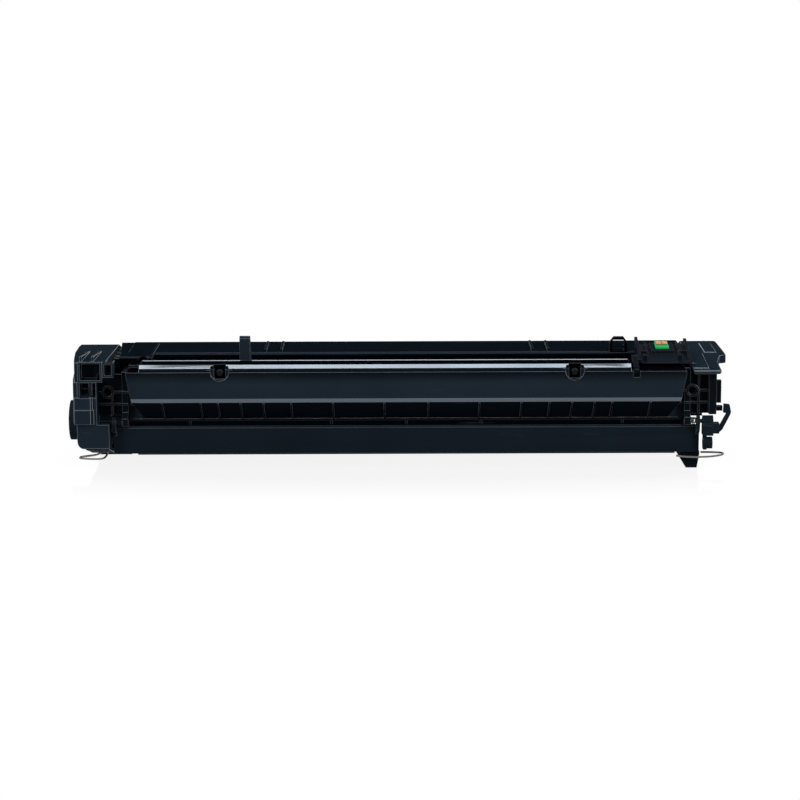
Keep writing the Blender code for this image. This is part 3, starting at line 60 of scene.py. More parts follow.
def placed(name, data):
    """A new object in the scene."""
    made = bpy.data.objects.new(name, data)
    bpy.context.scene.collection.objects.link(made)
    return made


def facing_down(line, roll=0.0):
    """The turn of a camera or lamp that looks back down a line, rolled about it."""
    return line.to_track_quat("Z", "Y").to_matrix().to_4x4() @ Matrix.Rotation(roll, 4, "Z")


camera_data = bpy.data.cameras.new("camera")
camera_data.lens = LENS_MM
camera_data.sensor_width = FILM_MM
camera_data.sensor_fit = "HORIZONTAL"
camera_data.clip_end = SIGHT_END
camera = placed("camera", camera_data)
back = Vector((0, -math.cos(CAMERA_RISE), math.sin(CAMERA_RISE)))
camera_place = Matrix.Translation(CAMERA_AIM + back * CAMERA_DISTANCE)
camera.matrix_world = camera_place @ facing_down(back, CAMERA_ROLL)
bpy.context.scene.camera = camera

# Lamps. Two long soft boxes overhead, whose reflections run along the upper chamfers and the
# moulded edges, and two at the sides, which lift the two ends.
LAMPS = (
    ("top_lamp", (0.0, 0.24, 1.25), (2.0, 0.26), 11.0),
    ("edge_lamp", (0.0, -0.66, 1.25), (2.0, 0.14), 4.0),
    ("left_lamp", (-1.3, -1.1, 0.7), (0.6, 0.9), 20.0),
    ("right_lamp", (1.3, -1.1, 0.7), (0.6, 0.9), 24.0),
)
for name, spot, size, watts in LAMPS:
    lamp = bpy.data.lights.new(name, "AREA")
    lamp.shape = "RECTANGLE"
    lamp.size, lamp.size_y = size
    lamp.energy = watts
    toward = Vector(spot) - CAMERA_AIM
    placed(name, lamp).matrix_world = Matrix.Translation(spot) @ facing_down(toward)

# White room. The world is white where it is seen, directly, in a reflection or through
# something clear, and otherwise gives a weak even light.
WORLD_LIGHT = 0.30
WHITE = (1, 1, 1, 1)


def filled(node, values):
    """A node with these values in its sockets, which go by name or number."""
    for socket, value in values.items():
        node.inputs[socket].default_value = value
    return node


def wired(tree, *pairs):
    """Links an output to an input in each pair."""
    for giver, taker in pairs:
        tree.links.new(giver, taker)


def combined(tree, operation, one, two):
    """Two values added, multiplied or otherwise combined."""
    made = tree.nodes.new("ShaderNodeMath")
    made.operation = operation
    wired(tree, (one, made.inputs[0]), (two, made.inputs[1]))
    return made.outputs[0]


def ranged(tree, value, from_low, from_high, to_low, to_high, easing="LINEAR"):
    """A value carried from one range to another."""
    made = filled(tree.nodes.new("ShaderNodeMapRange"), {
        "From Min": from_low, "From Max": from_high, "To Min": to_low, "To Max": to_high})
    made.interpolation_type = easing
    wired(tree, (value, made.inputs["Value"]))
    return made.outputs["Result"]


def seen_rays(tree):
    """One where the camera, a reflection or a clear material looks, zero for stray light."""
    path = tree.nodes.new("ShaderNodeLightPath")
    either = combined(tree, "MAXIMUM", path.outputs["Is Camera Ray"], path.outputs["Is Glossy Ray"])
    return combined(tree, "MAXIMUM", either, path.outputs["Is Transmission Ray"])


room = bpy.data.worlds.new("room")
bpy.context.scene.world = room
room.use_nodes = True
tree = room.node_tree
sky = filled(tree.nodes["Background"], {"Color": WHITE})
wired(tree, (ranged(tree, seen_rays(tree), 0.0, 1.0, WORLD_LIGHT, 1.0), sky.inputs["Strength"]))
bpy.context.scene.view_settings.view_transform = "Standard"

# Table. A white sheet of acrylic that keeps a faint shadow and reflection near the cartridge,
# over an oval as long as the part, and fades into the white room further out.
TABLE_HALF = 3.0
FADE_START, FADE_END = 0.060, 0.135
OVAL = (0.28, 1.0, 1.0)
SHADOW_SHARE, MIRROR_SHARE = 0.03, 0.09
MIRROR_ROUGHNESS = 0.08
BOUNCE = 0.30


def grey(share):
    """An even grey as a colour."""
    return (share, share, share, 1)


table_mesh = bpy.data.meshes.new("table")
table_mesh.from_pydata([(-TABLE_HALF, -TABLE_HALF, 0), (TABLE_HALF, -TABLE_HALF, 0),
                        (TABLE_HALF, TABLE_HALF, 0), (-TABLE_HALF, TABLE_HALF, 0)],
                       [], [(0, 1, 2, 3)])
table = placed("table", table_mesh)
acrylic = bpy.data.materials.new("white_acrylic")
acrylic.use_nodes = True
tree = acrylic.node_tree
tree.nodes.remove(tree.nodes["Principled BSDF"])
stray = filled(tree.nodes.new("ShaderNodeBsdfDiffuse"), {"Color": grey(BOUNCE)})
shaded = filled(tree.nodes.new("ShaderNodeBsdfDiffuse"), {"Color": grey(SHADOW_SHARE)})
mirror = filled(tree.nodes.new("ShaderNodeBsdfGlossy"),
                {"Color": grey(MIRROR_SHARE), "Roughness": MIRROR_ROUGHNESS})
plain = filled(tree.nodes.new("ShaderNodeEmission"),
               {"Strength": 1.0 - SHADOW_SHARE - MIRROR_SHARE})
far = filled(tree.nodes.new("ShaderNodeEmission"), {"Strength": 1.0})
shade_and_mirror = tree.nodes.new("ShaderNodeAddShader")
near = tree.nodes.new("ShaderNodeAddShader")
at = tree.nodes.new("ShaderNodeTexCoord")
oval = tree.nodes.new("ShaderNodeVectorMath")
oval.operation = "MULTIPLY"
oval.inputs[1].default_value = OVAL
distance = tree.nodes.new("ShaderNodeVectorMath")
distance.operation = "LENGTH"
wired(tree, (at.outputs["Object"], oval.inputs[0]),
      (oval.outputs["Vector"], distance.inputs[0]))
fade = ranged(tree, distance.outputs["Value"], FADE_START, FADE_END, 0.0, 1.0, "SMOOTHSTEP")
whole = tree.nodes.new("ShaderNodeMixShader")
shown = tree.nodes.new("ShaderNodeMixShader")
wired(tree, (shaded.outputs["BSDF"], shade_and_mirror.inputs[0]),
      (mirror.outputs["BSDF"], shade_and_mirror.inputs[1]),
      (shade_and_mirror.outputs["Shader"], near.inputs[0]),
      (plain.outputs["Emission"], near.inputs[1]),
      (fade, whole.inputs["Fac"]),
      (near.outputs["Shader"], whole.inputs[1]),
      (far.outputs["Emission"], whole.inputs[2]),
      (seen_rays(tree), shown.inputs["Fac"]),
      (stray.outputs["BSDF"], shown.inputs[1]),
      (whole.outputs["Shader"], shown.inputs[2]),
      (shown.outputs["Shader"], tree.nodes["Material Output"].inputs["Surface"]))
table_mesh.materials.append(acrylic)

# Hopper. A black polystyrene tub, injection moulded with a fine spark-eroded grain and small
# radii that catch the light. Its lid is the same plastic, welded on, with a wing over the gears.
GRAIN_SIZE, GRAIN_DETAIL, GRAIN_HEIGHT = 9000.0, 1.0, 0.00004
FLOW_SIZE, FLOW_DETAIL = 22.0, 3.0
SCRATCH_SIZE, SCRATCH_TURN, SCRATCH_DETAIL = (40, 900, 900), (0.3, 0.15, 0.2), 2.0
FLOW_SHADE = (0.3, 0.7, 0.90, 1.12)
GRAIN_SHADE = (0.35, 0.75, 0.92, 1.15)
FLOW_ROUGHNESS = (0.3, 0.7, -0.04, 0.05)
SCRATCH_LINE = (0.66, 0.72, 0.0, 1.0)
SCUFFED_PATCH = (0.55, 0.70, 0.0, 1.0)
SCUFF_GREY = (0.060, 0.068, 0.080, 1)
COOL_GLOSS = (0.84, 0.92, 1.0)
HOUSING_BLACK = (0.0088, 0.0138, 0.0203)
EDGE_ROUND, EDGE_STEPS = 0.00048, 2
SHARP, FLAT = math.radians(34), math.radians(0.8)
SAME_POINT = 0.000002
UPWARD, FORWARD = 0.8, -0.8
LID_FRONT_LOW = 0.050


def finish_group(name, *inputs):
    """An empty finish, with its own inputs, that puts out a colour, a roughness and a height."""
    group = bpy.data.node_groups.new(name, "ShaderNodeTree")
    for socket, kind, value in inputs:
        made = group.interface.new_socket(socket, in_out="INPUT", socket_type="NodeSocket" + kind)
        made.default_value = value
    for socket, kind in (("Colour", "Color"), ("Roughness", "Float"), ("Height", "Float")):
        group.interface.new_socket(socket, in_out="OUTPUT", socket_type="NodeSocket" + kind)
    given = group.nodes.new("NodeGroupInput")
    return group, given.outputs, group.nodes.new("NodeGroupOutput").inputs


def noise(tree, place, scale, detail):
    """A noise over a place's coordinates. At a scale of one they alone give its size."""
    made = filled(tree.nodes.new("ShaderNodeTexNoise"), {"Scale": scale, "Detail": detail})
    wired(tree, (place, made.inputs["Vector"]))
    return made


def shaded_by(tree, colour, factor):
    """A colour made lighter or darker by a factor."""
    made = tree.nodes.new("ShaderNodeVectorMath")
    made.operation = "SCALE"
    wired(tree, (colour, made.inputs[0]), (factor, made.inputs["Scale"]))
    return made.outputs["Vector"]


def moulded_grain_group():
    """A moulding's grain, slow shade of flow and scuffs."""
    tree, given, out = finish_group(
        "moulded_grain", ("Colour", "Color", (*HOUSING_BLACK, 1)), ("Roughness", "Float", 0.5),
        ("Grain size", "Float", GRAIN_SIZE), ("Scuffs", "Float", 0.3))
    place = tree.nodes.new("ShaderNodeTexCoord").outputs["Object"]
    grain = noise(tree, place, GRAIN_SIZE, GRAIN_DETAIL)
    flow = noise(tree, place, FLOW_SIZE, FLOW_DETAIL).outputs["Fac"]
    shade = ranged(tree, flow, *FLOW_SHADE)
    speck = ranged(tree, grain.outputs["Fac"], *GRAIN_SHADE)
    clean = shaded_by(tree, given["Colour"], combined(tree, "MULTIPLY", shade, speck))
    along = filled(tree.nodes.new("ShaderNodeMapping"),
                   {"Scale": SCRATCH_SIZE, "Rotation": SCRATCH_TURN})
    scratch = noise(tree, along.outputs["Vector"], 1.0, SCRATCH_DETAIL).outputs["Fac"]
    line = ranged(tree, scratch, *SCRATCH_LINE)
    patch = ranged(tree, flow, *SCUFFED_PATCH)
    worn = combined(tree, "MULTIPLY", line, patch)
    worn = combined(tree, "MULTIPLY", worn, given["Scuffs"])
    scuffed = tree.nodes.new("ShaderNodeMix")
    scuffed.data_type = "RGBA"
    scuffed.inputs["B"].default_value = SCUFF_GREY
    uneven = ranged(tree, flow, *FLOW_ROUGHNESS)
    wired(tree, (given["Grain size"], grain.inputs["Scale"]),
          (place, along.inputs["Vector"]),
          (worn, scuffed.inputs["Factor"]),
          (clean, scuffed.inputs["A"]),
          (scuffed.outputs["Result"], out["Colour"]),
          (combined(tree, "ADD", uneven, given["Roughness"]), out["Roughness"]),
          (grain.outputs["Fac"], out["Height"]))
    return tree


def bumped(tree, height, strength, distance):
    """Sets a height into the material's Principled shader as its normal."""
    bump = filled(tree.nodes.new("ShaderNodeBump"), {"Strength": strength, "Distance": distance})
    wired(tree, (height, bump.inputs["Height"]),
          (bump.outputs["Normal"], tree.nodes["Principled BSDF"].inputs["Normal"]))


def finish_material(name, group, values, gloss, depth, distance):
    """A material on a finish group. Gloss holds the values of the Principled shader's sockets."""
    made = bpy.data.materials.new(name)
    made.use_nodes = True
    tree = made.node_tree
    shader = filled(tree.nodes["Principled BSDF"], gloss)
    finish = tree.nodes.new("ShaderNodeGroup")
    finish.node_tree = group
    filled(finish, values)
    wired(tree, (finish.outputs["Colour"], shader.inputs["Base Color"]),
          (finish.outputs["Roughness"], shader.inputs["Roughness"]))
    bumped(tree, finish.outputs["Height"], depth, distance)
    return made


moulded_grain = moulded_grain_group()


def moulded(name, colour, roughness, specular=0.5, depth=0.25, scuffs=0.3, grain_size=GRAIN_SIZE,
            tint=COOL_GLOSS):
    """A grained plastic with its own colour, gloss and wear."""
    values = {"Colour": (*colour, 1), "Roughness": roughness, "Grain size": grain_size,
              "Scuffs": scuffs}
    gloss = {"Specular IOR Level": specular, "Specular Tint": (*tint, 1)}
    return finish_material(name, moulded_grain, values, gloss, depth, GRAIN_HEIGHT)


def stand_for(piece, node):
    """Lets a piece take a node's place, with its body."""
    bodies = frame["record"]["behaviour"]["bodies"]
    owner = next(body for body, names in bodies.items() if node in names)
    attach(piece, owner)
    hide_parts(node)


def meshed(name, shape, *finishes):
    """A plain mesh of an edited shape, with its finishes in the order of their numbers."""
    mesh = bpy.data.meshes.new(name)
    shape.to_mesh(mesh)
    shape.free()
    for finish in finishes:
        mesh.materials.append(finish)
    return mesh


def dressed(node, finish, edge_finish, width=EDGE_ROUND, bands=(), clamp=True, cuts=(),
            reshape=None):
    """A copy of a moulding with rounded edges, which take the smoother finish of a mould's radii;
    on most pieces that edge finish is also painted lighter, a painted highlight along the edges.

    Each band is a finish and a test on a face's centre and normal that says where it goes, and
    each cut is an x at which the faces are split, so that a band can end there. Reshape moves
    points of the copy before all that.
    """
    shape = bmesh.new()
    shape.from_mesh(frame["nodes"][node].data)
    bmesh.ops.remove_doubles(shape, verts=shape.verts, dist=SAME_POINT)
    bmesh.ops.dissolve_limit(shape, angle_limit=FLAT, verts=shape.verts, edges=shape.edges)
    if reshape:
        reshape(shape)
    for x in cuts:
        bmesh.ops.bisect_plane(shape, geom=shape.verts[:] + shape.edges[:] + shape.faces[:],
                               plane_co=(x, 0, 0), plane_no=(1, 0, 0))
    for face in shape.faces:
        face.material_index = 0
        for number, (_, wanted) in enumerate(bands, 2):
            if wanted(face.calc_center_median(), face.normal):
                face.material_index = number
    mesh = meshed(node + "_finish", shape, finish, edge_finish, *[band for band, _ in bands])
    mesh.shade_smooth()
    mesh.set_sharp_from_angle(angle=SHARP)
    piece = placed(node + "_finish", mesh)
    rounding = piece.modifiers.new("rounding", "BEVEL")
    rounding.width = width
    rounding.use_clamp_overlap = clamp
    rounding.segments = EDGE_STEPS
    rounding.limit_method = "ANGLE"
    rounding.angle_limit = SHARP
    rounding.harden_normals = True
    rounding.material = 1
    stand_for(piece, node)


def looks_up(centre, normal):
    """The upper faces."""
    return normal.z > UPWARD


def high_front(centre, normal):
    """The narrow front of the lid, in the shade above the bin."""
    return normal.y < FORWARD and centre.z > LID_FRONT_LOW


housing_black = moulded("housing_black", HOUSING_BLACK, 0.62, specular=0.01, scuffs=0.12)
# The hopper's and lid's upper faces take a darker colour without gloss: a painted shade.
housing_top_painted_shade = moulded("housing_top_painted_shade", (0.0028, 0.0050, 0.0078), 0.75, specular=0.0)
# The rounded edges of the frames, shutter, end caps and chip holder are glossy and also painted
# lighter than the housing: a painted highlight.
glossy_edge_painted_highlight = moulded("glossy_edge_painted_highlight", (0.028, 0.037, 0.048), 0.30, specular=1.0, depth=0.10,
                     scuffs=0.5)
shaded_black = moulded("shaded_black", (0.0010, 0.0011, 0.0018), 0.60, specular=0.0)
soft_edge = moulded("soft_edge", (0.007, 0.011, 0.016), 0.45, specular=0.20)
lid_bands = ((housing_top_painted_shade, looks_up), (shaded_black, high_front))
dressed("hopper_body", housing_black, soft_edge, bands=lid_bands)
dressed("hopper_lid", housing_black, soft_edge, bands=lid_bands)

# Heat stakes and ejector marks. The lid is held by a row of stakes melted flat on the slope
# behind it, and the pins that pushed the tub out of its mould left a row of round marks.
STAKES, STAKE_RADIUS, STAKE_FLATNESS = 14, 0.0014, 0.40
STAKE_MARGIN, STAKE_FORWARD, STAKE_DOWN = 0.012, 0.0028, 0.0021
MARKS, MARK_RADIUS, MARK_FLATNESS = 9, 0.0030, 0.05
MARK_MARGIN, MARK_HEIGHT = 0.024, 0.030
SLOPE, UPRIGHT = math.radians(29), math.radians(90)
DOME_SIDES, DOME_RINGS = 20, 8
hopper_low, hopper_high = [Vector(corner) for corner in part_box("hopper_body")]
lid_high = Vector(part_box("hopper_lid")[1])


def dome_row_tree():
    """A row of flattened domes between two points, tilted to the surface they stand on."""
    tree = bpy.data.node_groups.new("dome_row", "GeometryNodeTree")
    for socket, kind in (("Count", "Int"), ("Start", "Vector"), ("End", "Vector"),
                         ("Radius", "Float"), ("Flatness", "Float"), ("Tilt", "Float"),
                         ("Finish", "Material")):
        tree.interface.new_socket(socket, in_out="INPUT", socket_type="NodeSocket" + kind)
    tree.interface.new_socket("Geometry", in_out="OUTPUT", socket_type="NodeSocketGeometry")
    given = tree.nodes.new("NodeGroupInput").outputs
    out = tree.nodes.new("NodeGroupOutput").inputs
    line = tree.nodes.new("GeometryNodeMeshLine")
    line.mode = "END_POINTS"
    dome = filled(tree.nodes.new("GeometryNodeMeshUVSphere"),
                  {"Segments": DOME_SIDES, "Rings": DOME_RINGS})
    pressed = tree.nodes.new("GeometryNodeTransform")
    flat = filled(tree.nodes.new("ShaderNodeCombineXYZ"), {"X": 1, "Y": 1})
    tilted = tree.nodes.new("ShaderNodeCombineXYZ")
    set_on = tree.nodes.new("GeometryNodeInstanceOnPoints")
    real = tree.nodes.new("GeometryNodeRealizeInstances")
    smooth = tree.nodes.new("GeometryNodeSetShadeSmooth")
    coat = tree.nodes.new("GeometryNodeSetMaterial")
    wired(tree, (given["Count"], line.inputs["Count"]),
          (given["Start"], line.inputs["Start Location"]),
          (given["End"], line.inputs["Offset"]),
          (given["Radius"], dome.inputs["Radius"]),
          (given["Flatness"], flat.inputs["Z"]),
          (given["Tilt"], tilted.inputs["X"]),
          (dome.outputs["Mesh"], pressed.inputs["Geometry"]),
          (flat.outputs["Vector"], pressed.inputs["Scale"]),
          (tilted.outputs["Vector"], pressed.inputs["Rotation"]),
          (line.outputs["Mesh"], set_on.inputs["Points"]),
          (pressed.outputs["Geometry"], set_on.inputs["Instance"]),
          (set_on.outputs["Instances"], real.inputs["Geometry"]),
          (real.outputs["Geometry"], smooth.inputs["Geometry"]),
          (smooth.outputs["Geometry"], coat.inputs["Geometry"]),
          (given["Finish"], coat.inputs["Material"]),
          (coat.outputs["Geometry"], out["Geometry"]))
    return tree


def housed(name, mesh):
    """A small piece of the housing's own plastic that rides on it."""
    piece = placed(name, mesh)
    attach(piece, "housing")


def row_of_domes(name, values):
    """One row as a plain mesh on the housing. Values are the tree's inputs by name."""
    seed = placed(name + "_seed", bpy.data.meshes.new(name + "_seed"))
    row = seed.modifiers.new("row", "NODES")
    row.node_group = dome_row
    for socket in dome_row.interface.items_tree:
        if socket.item_type == "SOCKET" and socket.in_out == "INPUT":
            row[socket.identifier] = values[socket.name]
    graph = bpy.context.evaluated_depsgraph_get()
    graph.update()
    mesh = bpy.data.meshes.new_from_object(seed.evaluated_get(graph))
    bpy.data.objects.remove(seed, do_unlink=True)
    housed(name, mesh)


dome_row = dome_row_tree()
slope_y = (lid_high.y + hopper_high.y) / 2 - STAKE_FORWARD
slope_z = hopper_high.z - STAKE_DOWN
row_of_domes("lid_stakes", {
    "Count": STAKES, "Radius": STAKE_RADIUS, "Flatness": STAKE_FLATNESS, "Tilt": -SLOPE,
    "Start": (hopper_low.x + STAKE_MARGIN, slope_y, slope_z),
    "End": (hopper_high.x - STAKE_MARGIN, slope_y, slope_z), "Finish": housing_black})
row_of_domes("ejector_marks", {
    "Count": MARKS, "Radius": MARK_RADIUS, "Flatness": MARK_FLATNESS, "Tilt": UPRIGHT,
    "Start": (hopper_low.x + MARK_MARGIN, hopper_high.y, MARK_HEIGHT),
    "End": (hopper_high.x - MARK_MARGIN, hopper_high.y, MARK_HEIGHT), "Finish": housing_black})

# Agitator, doctor blade and magnet. The stirring frame, gears and fill plug are natural acetal,
# the stirring film is grey polyester, and the doctor blade is amber urethane on folded steel.
ALONG, ROUND_AXIS, EVEN = (60.0, 2400.0, 2400.0), (3200.0, 30.0, 30.0), (900.0, 900.0, 900.0)
LINE_DETAIL, LINE_HEIGHT = 3.0, 0.00003
LINE_SHADE, LINE_ROUGHNESS = (0.3, 0.7, 0.82, 1.12), (0.3, 0.7, -0.07, 0.09)
COAT_ROUGHNESS = 0.06
ACETAL_GRAIN = 3000.0


def finished(finish, *nodes):
    """Gives carried-over construction pieces their finish."""
    for node in nodes:
        for slot in frame["nodes"][node].material_slots:
            slot.material = finish


def drawn_lines_group():
    """Drawing lines along or round a surface."""
    tree, given, out = finish_group(
        "drawn_lines", ("Colour", "Color", (0.5, 0.5, 0.48, 1)), ("Roughness", "Float", 0.3),
        ("Lines", "Vector", ALONG))
    at = tree.nodes.new("ShaderNodeTexCoord")
    stretched = tree.nodes.new("ShaderNodeVectorMath")
    stretched.operation = "MULTIPLY"
    wired(tree, (at.outputs["Object"], stretched.inputs[0]), (given["Lines"], stretched.inputs[1]))
    lines = noise(tree, stretched.outputs["Vector"], 1.0, LINE_DETAIL).outputs["Fac"]
    uneven = ranged(tree, lines, *LINE_ROUGHNESS)
    wired(tree, (shaded_by(tree, given["Colour"], ranged(tree, lines, *LINE_SHADE)), out["Colour"]),
          (combined(tree, "ADD", uneven, given["Roughness"]), out["Roughness"]),
          (lines, out["Height"]))
    return tree


drawn_lines = drawn_lines_group()


def lined(name, colour, lines, roughness, metallic=0.0, depth=0.15, coat=0.0, specular=0.5):
    """A metal, rubber or coating with fine lines along or round it."""
    values = {"Colour": (*colour, 1), "Roughness": roughness, "Lines": lines}
    gloss = {"Metallic": metallic, "Coat Weight": coat, "Coat Roughness": COAT_ROUGHNESS,
             "Specular IOR Level": specular}
    return finish_material(name, drawn_lines, values, gloss, depth, LINE_HEIGHT)


natural_acetal = moulded("natural_acetal", (0.60, 0.585, 0.52), 0.42, specular=0.5, depth=0.10,
                         scuffs=0.1, grain_size=ACETAL_GRAIN)
grey_film = lined("grey_film", (0.30, 0.31, 0.32), ALONG, 0.28, depth=0.05)
amber_urethane = lined("amber_urethane", (0.48, 0.27, 0.09), ALONG, 0.36, depth=0.05)
folded_steel = lined("folded_steel", (0.56, 0.56, 0.55), ALONG, 0.30, metallic=1.0)
turned_steel = lined("turned_steel", (0.60, 0.60, 0.59), ROUND_AXIS, 0.26, metallic=1.0)
finished(natural_acetal, "agitator_frame", "agitator_gear", "idler_gear", "fill_plug")
finished(grey_film, "agitator_film")
finished(amber_urethane, "doctor_blade")
finished(folded_steel, "doctor_bracket")
finished(turned_steel, "magnet_core")

# Developer roller. An aluminium sleeve blasted and coated to a dull dark grey, on acetal ends
# that run in the hopper's walls, with two rings that hold it off the drum.
BLASTED = (2600.0, 2600.0, 2600.0)
blasted_sleeve = lined("blasted_sleeve", (0.16, 0.16, 0.165), BLASTED, 0.55, metallic=0.8,
                       depth=0.3)
finished(blasted_sleeve, "developer_sleeve")
finished(natural_acetal, "developer_shaft", "developer_flange", "developer_gear",
         "spacer_ring_left", "spacer_ring_right")

# Charge roller. Soft conductive rubber, ground round its steel shaft, and pressed on the drum
# by two blackened springs through bearing blocks of dark acetal.
GROUND_ROUND = (1800.0, 60.0, 60.0)
charge_rubber = lined("charge_rubber", (0.016, 0.016, 0.017), GROUND_ROUND, 0.72, depth=0.25)
dark_acetal = moulded("dark_acetal", (0.022, 0.025, 0.029), 0.40, specular=0.4, depth=0.10,
                      scuffs=0.1, grain_size=ACETAL_GRAIN)
black_spring = lined("black_spring", (0.035, 0.035, 0.038), EVEN, 0.30, metallic=1.0, depth=0.08)
finished(charge_rubber, "charge_sleeve")
finished(turned_steel, "charge_shaft")
finished(dark_acetal, "charge_bearing_left", "charge_bearing_right")
finished(black_spring, "charge_spring_left", "charge_spring_right")

# Drum. An aluminium tube with a smooth blue-green light-sensitive coat, dipped and so finely
# ringed, between a gear flange and an end flange of dark acetal, the latter on a steel pin.
DIPPED_RINGS = (420.0, 12.0, 12.0)
drum_coat = lined("drum_coat", (0.020, 0.120, 0.150), DIPPED_RINGS, 0.16, depth=0.03, coat=0.8)
finished(drum_coat, "opc_drum")
finished(dark_acetal, "drum_drive_flange", "drum_end_flange")
finished(turned_steel, "drum_pin")

# Waste bin. A long black box whose front plate turns under in one smooth bend, with a cover snapped
# in on top. The mould is polished along the bend and the chamfers, which all shine, and their
# colour is painted lighter as well, a painted highlight.
BEND_DEEP, PLATE_DEEP, CHAMFER_DEEP, UNDER_HIGH = 0.0042, 0.0020, 0.0040, 0.0125
FRONT_LEAN, PLATE_LEAN = -0.3, -0.01
BEND_STEEP, BEND_LIGHT = -0.80, -0.05
SILL_LEAN, CHAMFER_LEAN, UNDER_LEAN = 0.3, 0.5, -0.5
PLATE_SHADE = (0.0535, 0.0592, 1.0, 0.32)
BLUE_GLOSS = (0.70, 0.85, 1.0)
bin_low = Vector(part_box("waste_bin")[0])
cover_low, cover_high = [Vector(corner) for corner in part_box("waste_bin_cover")]


def on_bend(centre, normal):
    """The bend under the front plate."""
    turning = BEND_STEEP < normal.z < BEND_LIGHT and normal.y < FRONT_LEAN
    return turning and centre.y < bin_low.y + BEND_DEEP


def on_sill(centre, normal):
    """The bin's own chamfer, at both ends of the cover."""
    beyond_cover = centre.x > cover_high.x or centre.x < cover_low.x
    leaning = normal.z > SILL_LEAN and normal.y < FRONT_LEAN
    return beyond_cover and leaning and centre.y < bin_low.y + PLATE_DEEP


def on_chamfer(centre, normal):
    """The cover's chamfer."""
    leaning = normal.z > CHAMFER_LEAN and normal.y < FRONT_LEAN
    return leaning and centre.y < cover_low.y + CHAMFER_DEEP


def on_plate(centre, normal):
    """The front plate, whose colour is painted darker towards the chamfer, a painted shade."""
    leaning = normal.z > PLATE_LEAN and normal.y < FRONT_LEAN
    return leaning and centre.y < bin_low.y + PLATE_DEEP


def looks_under(centre, normal):
    """The lowest faces, in the part's own shade."""
    return normal.z < UNDER_LEAN and centre.z < bin_low.z + UNDER_HIGH


# The bend and chamfers are glossy and also painted lighter than the housing: a painted highlight.
polished_bend_painted_highlight = moulded("polished_bend_painted_highlight", (0.034, 0.040, 0.054), 0.26, specular=1.0, depth=0.06,
                        scuffs=0.0, tint=BLUE_GLOSS)
polished_chamfer_painted_highlight = moulded("polished_chamfer_painted_highlight", (0.022, 0.026, 0.034), 0.20, specular=1.0,
                           depth=0.04, scuffs=0.0, tint=BLUE_GLOSS)
under_black = moulded("under_black", (0.0012, 0.0024, 0.0044), 0.60, specular=0.01)
# The bin's rounded edges are glossy and also painted much lighter: a painted highlight.
bin_edge_painted_highlight = moulded("bin_edge_painted_highlight", (0.070, 0.084, 0.104), 0.28, specular=1.0, depth=0.10, scuffs=0.3)
# The plate's colour is darkened towards its top edge: a painted shade below the chamfer.
plate_painted_shade = moulded("plate_painted_shade", HOUSING_BLACK, 0.62, specular=0.01, scuffs=0.12)
tree = plate_painted_shade.node_tree
at = tree.nodes.new("ShaderNodeTexCoord")
axes = tree.nodes.new("ShaderNodeSeparateXYZ")
wired(tree, (at.outputs["Object"], axes.inputs["Vector"]))
coloured = tree.nodes["Principled BSDF"].inputs["Base Color"]
painted_shade_dimming = ranged(tree, axes.outputs["Z"], *PLATE_SHADE)
wired(tree, (shaded_by(tree, coloured.links[0].from_socket, painted_shade_dimming), coloured))
bin_bands = ((shaded_black, looks_up), (plate_painted_shade, on_plate), (under_black, looks_under),
             (polished_bend_painted_highlight, on_bend), (polished_chamfer_painted_highlight, on_sill))
dressed("waste_bin", housing_black, bin_edge_painted_highlight, bands=bin_bands, cuts=(cover_low.x, cover_high.x))
dressed("waste_bin_cover", shaded_black, polished_chamfer_painted_highlight, width=0.0003,
        bands=((polished_chamfer_painted_highlight, on_chamfer),))

# Cover rib. A raised line moulded along the cover, less than half a millimetre high, glossy like
# the chamfer and painted lighter with it, a painted highlight, which shows as one thin light line.
RIB_PROFILE = ((-0.0355, 0.0639), (-0.0349, 0.0643), (-0.0349, 0.0639))
RIB_MARGIN = 0.0006
rib = bmesh.new()
for x in (cover_low.x + RIB_MARGIN, cover_high.x - RIB_MARGIN):
    rib.faces.new([rib.verts.new((x, y, z)) for y, z in RIB_PROFILE])
bmesh.ops.bridge_loops(rib, edges=rib.edges[:])
bmesh.ops.recalc_face_normals(rib, faces=rib.faces[:])
housed("cover_rib", meshed("cover_rib", rib, polished_chamfer_painted_highlight))

# Cover screws. Two blackened steel screws, deep in round wells, hold the ends of the cover.
# The shutter's hinge pins are the same steel.
black_screw = lined("black_screw", (0.010, 0.011, 0.013), EVEN, 0.34, metallic=1.0, depth=0.10)
finished(black_screw, "cover_screw_1", "cover_screw_2")

# Cleaning blade, recovery sheet and front bar. A steel angle carries the urethane blade that
# scrapes the drum; below it a polyester sheet and a black bar close the slot.
finished(folded_steel, "blade_bracket")
finished(amber_urethane, "cleaning_blade")
finished(grey_film, "recovery_sheet")
# The front bar is coloured near black, with edges a little lighter: a painted shade for the dark
# slot.
slot_painted_shade = moulded("slot_painted_shade", (0.0010, 0.0016, 0.0026), 0.60, specular=0.0)
slot_edge_painted_shade = moulded("slot_edge_painted_shade", (0.006, 0.009, 0.013), 0.40, specular=0.3)
dressed("front_bar", slot_painted_shade, slot_edge_painted_shade, width=0.0002)

# Side frames. Two open-ribbed plates that hold the drum and the shutter's pins. Their panels lie
# back in the shade, which is painted into their darker colour, and the ribs' edges are painted
# lighter, a painted highlight, so they stand out as thin light lines.
frame_painted_shade = moulded("frame_painted_shade", (0.0026, 0.0044, 0.0066), 0.60, specular=0.01)
for node in ("left_frame", "right_frame"):
    dressed(node, frame_painted_shade, glossy_edge_painted_highlight, width=0.0004)

